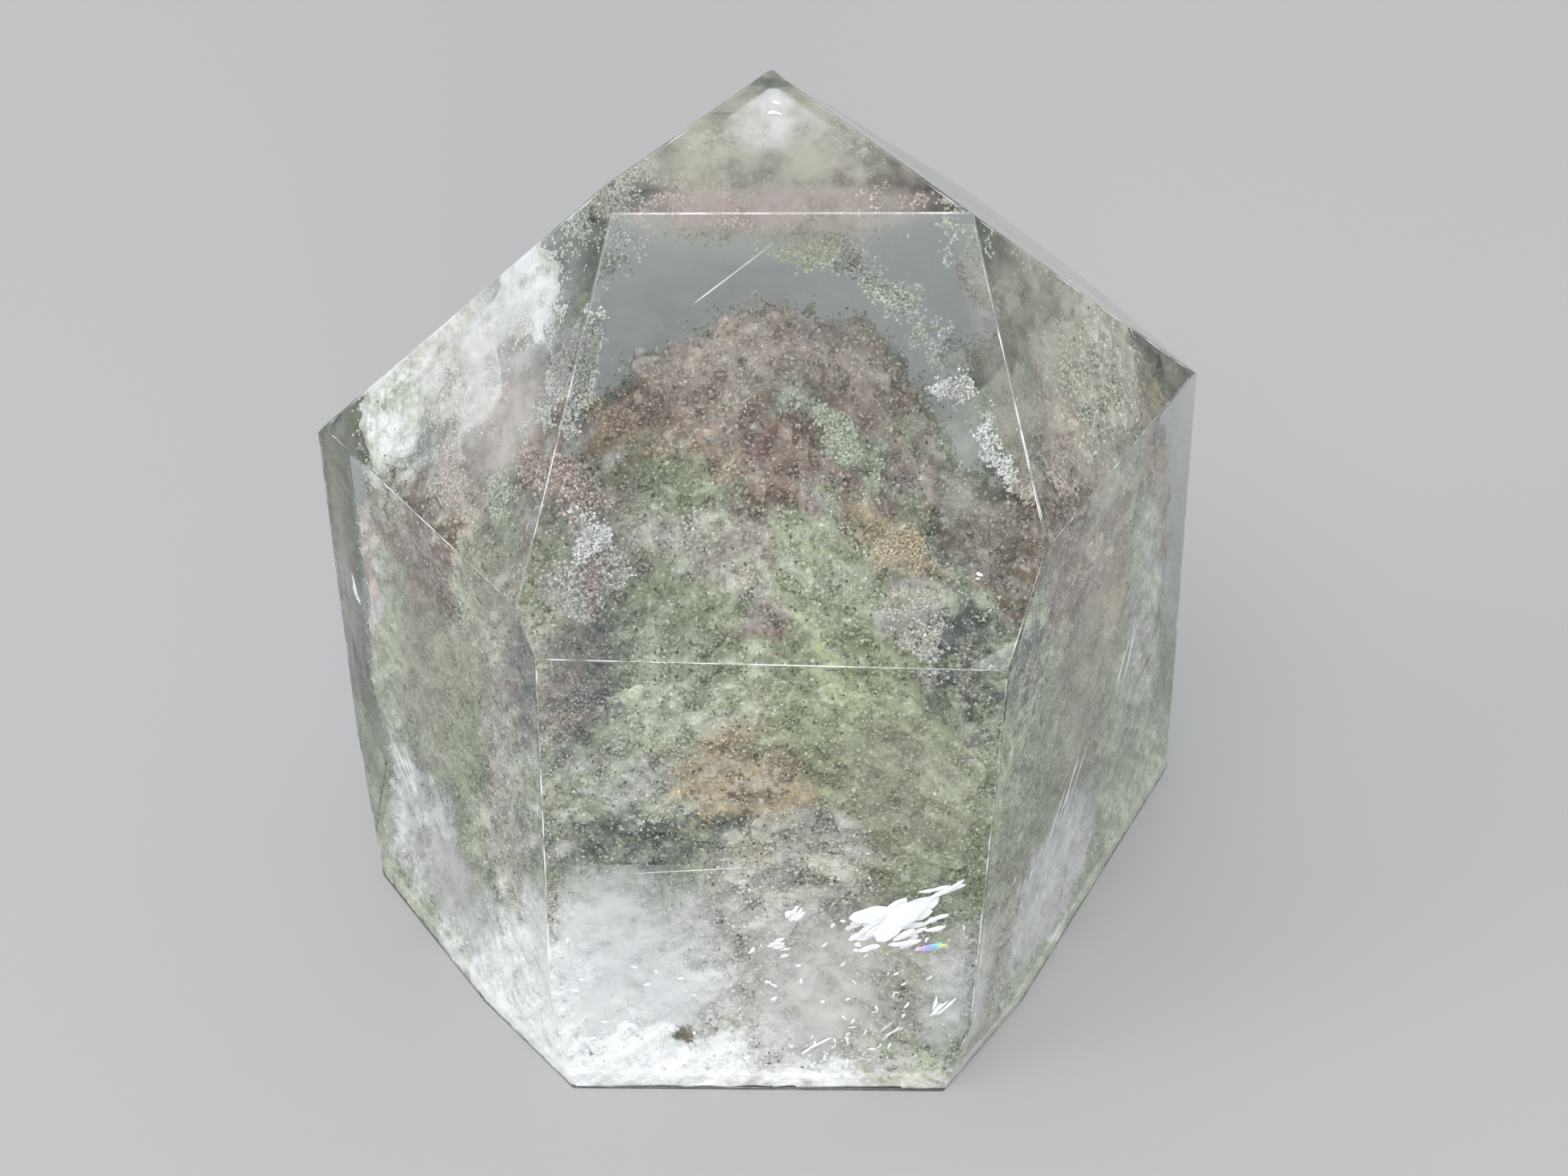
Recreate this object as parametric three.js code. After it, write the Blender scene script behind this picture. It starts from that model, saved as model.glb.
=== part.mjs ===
// Chlorite quartz: one polished quartz point, ground flat on its natural six-sided habit,
// with the garden of mineral grains that it grew around.
// Units are millimetres. +Z is up, +Y is the stone's back and -Y its broad front face.
// The origin is the middle of the stone's outline, at the level of its flat base.

import * as THREE from 'three';

// Driving dimensions ---------------------------------------------------------

// A facet is a flat plane, set as a lapidary sets it:
//   compass  direction it faces, in degrees from +X towards +Y
//   tilt     how far it leans up from the vertical, in degrees (negative leans in under)
//   reach    distance from the origin to the plane, in millimetres

// The six prism faces, which stand almost upright as they do on a natural crystal.
const prismFaces = {
  front: { compass: -92.5, tilt: 1, reach: 13.9 },
  frontLeft: { compass: -148, tilt: 2, reach: 15.95 },
  frontRight: { compass: -28, tilt: -2.5, reach: 14.35 },
  back: { compass: 87, tilt: 0, reach: 13.6 },
  backLeft: { compass: 143, tilt: -3.5, reach: 17.05 },
  backRight: { compass: 24, tilt: 4, reach: 21.6 },
};

// The crown, one face above each prism face. The back right one is ground in two
// planes that meet in a faint ridge.
const crownFaces = {
  front: { compass: -91.5, tilt: 34, reach: 25.4 },
  frontLeft: { compass: -151, tilt: 31.5, reach: 26.95 },
  frontRight: { compass: -24.5, tilt: 27, reach: 27.05 },
  back: { compass: 88, tilt: 39.5, reach: 30.6 },
  backLeft: { compass: 140, tilt: 41.5, reach: 30.3 },
  backRightLower: { compass: 29.5, tilt: 44, reach: 32.8 },
  backRightUpper: { compass: 32.5, tilt: 46, reach: 33.4 },
};

// The three-sided table that cuts off the front of the tip, and the worn apex.
const tipFaces = {
  table: { compass: -91, tilt: 63.5, reach: 38 },
  wornApex: { compass: -20, tilt: 84, reach: 43.6 },
};

// Small flats at the foot, where three of the upright edges were ground back.
const footFlats = {
  frontLeft: { compass: -142, tilt: -4, reach: 15.75 },
  frontRight: { compass: -35.5, tilt: -13.5, reach: 14.1 },
  left: { compass: 172, tilt: -5.5, reach: 19.35 },
};

// The flat base that the stone stands on.
const base = { compass: 0, tilt: -90, reach: 0 };

// The garden: the dense mass of chlorite and iron-stained grains that grew on an earlier,
// smaller crystal and was then sealed in. Two faces meet in a ridge at its front, and its
// roof slopes down to the back and to both sides. It reaches down to the polished base.
const gardenFaces = {
  front: { compass: -92.5, tilt: 1, reach: 11.5 },
  frontLeft: { compass: -148, tilt: 2, reach: 13.5 },
  frontRight: { compass: -28, tilt: -4.5, reach: 11.9 },
  back: { compass: 87, tilt: 0, reach: 11.3 },
  backLeft: { compass: 143, tilt: -3.5, reach: 14.6 },
  backRight: { compass: 24, tilt: 4, reach: 18.8 },
  ridgeLeft: { compass: -113, tilt: 36, reach: 21.2 },
  ridgeRight: { compass: -70, tilt: 36, reach: 21.6 },
  shoulderLeft: { compass: -151, tilt: 31.5, reach: 24.3 },
  shoulderRight: { compass: -24.5, tilt: 27, reach: 24.4 },
  roofBack: { compass: 90, tilt: 55.8, reach: 28.1 },
  roofLeft: { compass: 146, tilt: 39, reach: 25.6 },
  roofRight: { compass: 27, tilt: 33.5, reach: 25.6 },
};

// A corner may lie this far outside a facet and still belong to the stone.
const cornerTolerance = 1e-6;

// Solid modelling ------------------------------------------------------------

// The plane of a facet, facing out of the stone.
function facetPlane({ compass, tilt, reach }) {
  const turn = THREE.MathUtils.degToRad(compass);
  const lean = THREE.MathUtils.degToRad(tilt);
  const normal = new THREE.Vector3(
    Math.cos(turn) * Math.cos(lean),
    Math.sin(turn) * Math.cos(lean),
    Math.sin(lean),
  );
  return new THREE.Plane(normal, -reach);
}

// The point where three planes meet, or null where two of them are parallel.
function meetingPoint(a, b, c) {
  const acrossBC = b.normal.clone().cross(c.normal);
  const acrossCA = c.normal.clone().cross(a.normal);
  const acrossAB = a.normal.clone().cross(b.normal);
  const spread = a.normal.dot(acrossBC);
  if (Math.abs(spread) < cornerTolerance) {
    return null;
  }
  return acrossBC.multiplyScalar(-a.constant)
    .addScaledVector(acrossCA, -b.constant)
    .addScaledVector(acrossAB, -c.constant)
    .divideScalar(spread);
}

// Every corner of the stone: a meeting point of three planes that no other plane cuts off.
function findCorners(planes) {
  const corners = [];
  for (let i = 0; i < planes.length; i += 1) {
    for (let j = i + 1; j < planes.length; j += 1) {
      for (let k = j + 1; k < planes.length; k += 1) {
        const point = meetingPoint(planes[i], planes[j], planes[k]);
        if (point && planes.every((plane) => plane.distanceToPoint(point) < cornerTolerance)) {
          corners.push({ point, on: [i, j, k] });
        }
      }
    }
  }
  return corners;
}

// The corners of one facet by number, in order round it, seen from outside the stone.
function cornersRound(planeNumber, plane, corners) {
  const numbers = [...corners.keys()].filter((n) => corners[n].on.includes(planeNumber));
  const middle = new THREE.Vector3();
  numbers.forEach((n) => middle.addScaledVector(corners[n].point, 1 / numbers.length));
  const start = corners[numbers[0]].point.clone().sub(middle);
  const side = plane.normal.clone().cross(start);
  const bearing = (n) => {
    const arm = corners[n].point.clone().sub(middle);
    return Math.atan2(arm.dot(side), arm.dot(start));
  };
  return numbers.sort((m, n) => bearing(m) - bearing(n));
}

// The faces of the closed solid that lies inside all the facets, each as its ring of
// corner points, seen from outside.
function facetRings(facets) {
  const planes = facets.map(facetPlane);
  const corners = findCorners(planes);
  return planes.map((plane, planeNumber) => (
    cornersRound(planeNumber, plane, corners).map((n) => corners[n].point)
  ));
}

// The triangles that fill a convex ring.
function fillRing([first, ...others]) {
  return others.slice(1).map((point, n) => [first, others[n], point]);
}

// The triangles of the flat base between the outline of the stone and a pocket's mouth,
// facing down.
function fillFoot(outline, mouth) {
  const flat = (points) => points.map(({ x, y }) => new THREE.Vector2(x, y));
  const upward = [...outline].reverse();
  const around = [...mouth];
  const points = [...upward, ...around];
  return THREE.ShapeUtils.triangulateShape(flat(upward), [flat(around)])
    .map(([i, j, k]) => [points[k], points[j], points[i]]);
}

// One closed surface from loose triangles, with the corners that they share joined.
function closedSurface(triangles) {
  const numbers = new Map();
  const points = [];
  const index = triangles.flat().map((point) => {
    const key = point.toArray().map((value) => Math.round(value / cornerTolerance)).join();
    if (!numbers.has(key)) {
      numbers.set(key, points.push(point) - 1);
    }
    return numbers.get(key);
  });
  const geometry = new THREE.BufferGeometry().setFromPoints(points);
  geometry.setIndex(index);
  geometry.computeVertexNormals();
  return geometry;
}

// The stone and its garden ---------------------------------------------------

const stoneRings = facetRings([
  ...Object.values(prismFaces),
  ...Object.values(crownFaces),
  ...Object.values(tipFaces),
  ...Object.values(footFlats),
  base,
]);
const gardenRings = facetRings([...Object.values(gardenFaces), base]);

// The base comes last in both: there the garden shows in the polished foot.
const stoneFoot = stoneRings.pop();
const gardenFoot = gardenRings.pop();
const pocketWalls = gardenRings.map((ring) => [...ring].reverse());

// Colourless quartz, seen grey-green through the chlorite that it grew around.
const clearQuartz = new THREE.MeshStandardMaterial({
  name: 'clear_quartz',
  color: 0x9aa08c,
  roughness: 0.06,
  metalness: 0,
  flatShading: true,
});

// Fine matt grains of grey-green chlorite.
const chlorite = new THREE.MeshStandardMaterial({
  name: 'chlorite',
  color: 0x8c8f76,
  roughness: 0.9,
  metalness: 0,
  flatShading: true,
});

const quartzCrystal = new THREE.Mesh(closedSurface([
  ...stoneRings.flatMap(fillRing),
  ...pocketWalls.flatMap(fillRing),
  ...fillFoot(stoneFoot, gardenFoot),
]), clearQuartz);
quartzCrystal.name = 'quartz_crystal';

const chloriteGarden = new THREE.Mesh(closedSurface(
  [...gardenRings, gardenFoot].flatMap(fillRing),
), chlorite);
chloriteGarden.name = 'chlorite_garden';

const chloriteQuartz = new THREE.Group();
chloriteQuartz.name = 'chlorite_quartz';
chloriteQuartz.add(quartzCrystal, chloriteGarden);

export default chloriteQuartz;
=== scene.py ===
import math
import time
import bpy
import bmesh
import numpy as np
from mathutils import Matrix, Vector


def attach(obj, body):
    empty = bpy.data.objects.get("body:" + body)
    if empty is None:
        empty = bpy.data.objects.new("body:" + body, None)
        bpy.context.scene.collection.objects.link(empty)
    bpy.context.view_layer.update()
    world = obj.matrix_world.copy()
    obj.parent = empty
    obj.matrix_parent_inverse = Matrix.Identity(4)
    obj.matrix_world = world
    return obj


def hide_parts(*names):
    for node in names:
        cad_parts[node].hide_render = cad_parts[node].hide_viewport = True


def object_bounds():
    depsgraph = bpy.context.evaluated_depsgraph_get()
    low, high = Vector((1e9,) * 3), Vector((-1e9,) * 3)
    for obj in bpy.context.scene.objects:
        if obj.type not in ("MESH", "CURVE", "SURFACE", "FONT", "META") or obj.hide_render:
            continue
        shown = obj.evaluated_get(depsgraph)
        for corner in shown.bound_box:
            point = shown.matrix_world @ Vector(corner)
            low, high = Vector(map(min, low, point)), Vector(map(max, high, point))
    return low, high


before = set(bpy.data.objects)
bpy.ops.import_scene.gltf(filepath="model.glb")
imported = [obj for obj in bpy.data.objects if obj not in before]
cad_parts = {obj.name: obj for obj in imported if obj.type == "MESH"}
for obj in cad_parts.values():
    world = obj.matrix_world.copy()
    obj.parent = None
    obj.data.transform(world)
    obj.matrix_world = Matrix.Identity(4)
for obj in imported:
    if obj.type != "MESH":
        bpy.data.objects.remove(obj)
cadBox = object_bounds()
scene = bpy.context.scene

# places and sizes of the stone are in millimetres here, as a cutter would give them
mm = 0.001

started = time.time()


def say(stage):
    print(f"scene {time.time() - started:5.1f} s: {stage}")


def addObject(name, data):
    holder = bpy.data.objects.new(name, data)
    scene.collection.objects.link(holder)
    return holder


def addNode(tree, kind, inputs=(), **properties):
    # a node with its properties set, and its inputs given as plain values or as other nodes' outputs
    node = tree.nodes.new(kind)
    for name, value in properties.items():
        setattr(node, name, value)
    setInputs(tree, node, dict(inputs))
    return node


def setInputs(tree, node, inputs):
    for key, value in inputs.items():
        if isinstance(value, bpy.types.NodeSocket):
            tree.links.new(value, node.inputs[key])
        else:
            node.inputs[key].default_value = value


def newMaterial(name, looks):
    # a material with these values or wires on its Principled shader
    material = bpy.data.materials.new(name)
    material.use_nodes = True
    shader = material.node_tree.nodes["Principled BSDF"]
    setInputs(material.node_tree, shader, looks)
    return material, material.node_tree, shader


# camera and studio

cameraSettings = {
    "place": (0.85, -116.81, 113.27),
    "pitchDown": 39.0,
    "roll": 1.38,
    "lens": 75.0,
    "sensor": 36.0,
    "clip": (10.0, 20000.0),
}

studio = {
    "floorSize": 3000.0,
    "floorGap": 0.05,
    "floorColour": (0.50, 0.50, 0.495, 1.0),
    "floorRoughness": 0.9,
    "worldColour": (0.93, 0.96, 1.0, 1.0),
    "worldStrength": 0.78,
    "aim": (0, 0, 20),
    "lamps": [
        {"name": "softboxAbove", "at": (-110, -330, 520), "size": 380, "power": 1.25},
        {"name": "windowLeft", "at": (-520, -120, 300), "size": 320, "power": 0.6},
        {"name": "fillFront", "at": (90, -560, 170), "size": 300, "power": 0.9},
    ],
}


def makeCamera(settings):
    camera = bpy.data.cameras.new("camera")
    camera.lens = settings["lens"]
    camera.sensor_width = settings["sensor"]
    camera.clip_start, camera.clip_end = (reach * mm for reach in settings["clip"])
    holder = addObject("camera", camera)
    tip = math.radians(90.0 - settings["pitchDown"])
    turn = Matrix.Rotation(tip, 4, "X") @ Matrix.Rotation(-math.radians(settings["roll"]), 4, "Z")
    holder.matrix_world = Matrix.Translation(Vector(settings["place"]) * mm) @ turn
    scene.camera = holder


def makeLamp(spec, aim):
    lamp = bpy.data.lights.new(spec["name"], "AREA")
    lamp.shape = "DISK"
    lamp.size = spec["size"] * mm
    lamp.energy = spec["power"]
    place = Vector(spec["at"]) * mm
    looking = (Vector(aim) * mm - place).to_track_quat("-Z", "Y")
    addObject(spec["name"], lamp).matrix_world = Matrix.Translation(place) @ looking.to_matrix().to_4x4()


def makeWorld(settings):
    world = bpy.data.worlds.new("studioAir")
    world.use_nodes = True
    setInputs(world.node_tree, world.node_tree.nodes["Background"],
              {"Color": settings["worldColour"], "Strength": settings["worldStrength"]})
    scene.world = world


def makeFloor(settings):
    half = settings["floorSize"] * mm / 2
    level = -settings["floorGap"] * mm
    mesh = bpy.data.meshes.new("floor")
    corners = [(-half, -half, level), (half, -half, level), (half, half, level), (-half, half, level)]
    mesh.from_pydata(corners, [], [(0, 1, 2, 3)])
    paper = newMaterial("floorPaper", {"Base Color": settings["floorColour"],
                                       "Roughness": settings["floorRoughness"]})[0]
    mesh.materials.append(paper)
    floor = addObject("floor", mesh)


makeCamera(cameraSettings)
makeWorld(studio)
makeFloor(studio)
for lampSpec in studio["lamps"]:
    makeLamp(lampSpec, studio["aim"])
scene.view_settings.view_transform = "Standard"
say("camera and studio ready")


# measuring inside the stone

facing = {
    "front": (-92.5, 1.0),
    "frontCrown": (-91.5, 34.0),
    "table": (-91.0, 63.5),
    "left": (-148.0, 2.0),
    "leftCrown": (-151.0, 31.5),
    "right": (-28.0, -2.5),
    "rightCrown": (-24.5, 27.0),
    "back": (87.0, 0.0),
    "backCrown": (88.0, 39.5),
    "backLeft": (143.0, -3.5),
    "backLeftCrown": (140.0, 41.5),
    "backRight": (24.0, 4.0),
    "backRightCrown": (31.0, 45.0),
    "base": (0.0, -90.0),
}


# a face that looks this much up or down is level
nearlyLevel = 0.95


def direction(compass, tilt):
    turn, lean = math.radians(compass), math.radians(tilt)
    return np.array([math.cos(turn) * math.cos(lean), math.sin(turn) * math.cos(lean), math.sin(lean)])


# faces this near to one plane count as one: mm between them, and how alike their directions are
onePlane = {"apart": 0.02, "alike": 0.99995}


def facetPlanes(node):
    # a solid's outer flat faces: outward directions, and distances from the origin in mm
    corners = np.array([vertex.co for vertex in node.data.vertices]) / mm
    found = []
    for polygon in node.data.polygons:
        normal = np.array(polygon.normal)
        reach = float(normal @ corners[polygon.vertices[0]])
        outer = (corners @ normal).max() < reach + onePlane["apart"]
        known = any(normal @ n > onePlane["alike"] and abs(r - reach) < onePlane["apart"] for n, r in found)
        if outer and not known:
            found.append((normal, reach))
    return np.array([n for n, r in found]), np.array([r for n, r in found])


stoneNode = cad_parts["quartz_crystal"]
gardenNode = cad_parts["chlorite_garden"]
planeNormals, planeReaches = facetPlanes(stoneNode)
gardenNormals, gardenReaches = facetPlanes(gardenNode)


def depthInside(points):
    # how far each point lies under the nearest face
    return (planeReaches[None, :] - points @ planeNormals.T).min(axis=1)


def underSkin(points, skin):
    # moved so that nothing comes nearer to a polished face than skin
    for normal, reach in zip(planeNormals, planeReaches):
        over = np.maximum(points @ normal - (reach - skin), 0)
        points = points - over[:, None] * normal
    return points


# the starting number of each random draw and each pattern of lumps
seeds = {
    "garden": 17,
    "cloudStep": 31,
    "heartJitter": 23,
    "heartLumps": 41,
    "roofEdge": 67,
    "warp": 51,
    "slide": 57,
    "light": 59,
    "blend": 5,
    "speck": 83,
    "tear": 71,
    "clump": 61,
    "tuft": 66,
    "blades": 200,
    "bladeStep": 31,
    "sliver": 300,
    "edgeGaps": 97,
}

# odd numbers that scramble a cell's place and its seed
scramble = {"x": 73856093, "y": 19349663, "z": 83492791, "seed": 2654435761, "again": 1274126177}

# lumps on lumps: how much each layer counts, and how large it is next to the first
grainLayers = [(0.55, 1.0), (0.3, 0.45), (0.15, 0.2)]


def hashCells(cells, seed):
    # one fixed pseudo-random number from 0 to 1 for each whole-number cell
    mixed = cells[:, 0] * scramble["x"] ^ cells[:, 1] * scramble["y"] ^ cells[:, 2] * scramble["z"]
    mixed = mixed ^ (seed * scramble["seed"])
    mixed = (mixed ^ (mixed >> 13)) * scramble["again"]
    return ((mixed ^ (mixed >> 16)) & 0xFFFF) / 65535.0


def lumps(points, size, seed):
    # smooth lumps about size mm across, from 0 to 1
    scaled = points / size
    whole = np.floor(scaled).astype(np.int64)
    part = scaled - whole
    ease = part * part * (3 - 2 * part)
    total = np.zeros(len(points))
    for corner in range(8):
        step = np.array([corner & 1, (corner >> 1) & 1, corner >> 2])
        weight = np.prod(np.where(step, ease, 1 - ease), axis=1)
        total += weight * hashCells(whole + step, seed)
    return total


def grain(points, size, seed):
    # lumps with finer lumps on them, from 0 to 1
    return sum(share * lumps(points, size * part, seed + number)
               for number, (share, part) in enumerate(grainLayers))


# the garden in the stone: clouds of mineral, each named for its look

tints = {
    "sage": (0.45, 0.48, 0.37),
    "paleSage": (0.62, 0.65, 0.54),
    "brightSage": (0.50, 0.54, 0.36),
    "olive": (0.38, 0.41, 0.27),
    "moss": (0.12, 0.14, 0.10),
    "slate": (0.22, 0.24, 0.23),
    "ochre": (0.60, 0.50, 0.34),
    "rust": (0.40, 0.31, 0.255),
    "maroon": (0.27, 0.17, 0.14),
    "mauve": (0.47, 0.41, 0.38),
    "rose": (0.72, 0.60, 0.54),
    "sand": (0.60, 0.54, 0.43),
    "umber": (0.24, 0.18, 0.12),
    "beige": (0.66, 0.63, 0.54),
    "smoke": (0.60, 0.60, 0.57),
    "haze": (0.80, 0.79, 0.76),
    "milk": (0.86, 0.87, 0.86),
    "frost": (0.86, 0.87, 0.88),
}

# no fleck is darker than this
darkest = 0.01

# which mineral each tint is
minerals = {
    "chlorite": ("sage", "paleSage", "brightSage", "olive", "moss", "slate"),
    "iron": ("ochre", "rust", "maroon", "mauve", "rose", "sand", "umber"),
    "veil": ("beige", "smoke", "haze", "milk", "frost"),
}


def laid(lies, at, reach, *tint, **more):
    # a patch laid along one face: its middle, half its length across and down the face and into the
    # stone, and its tints. slant: degrees that it is turned in the face's plane, clockwise from outside
    return {"lies": lies, "at": at, "reach": reach, "tint": tint, **more}


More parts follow.
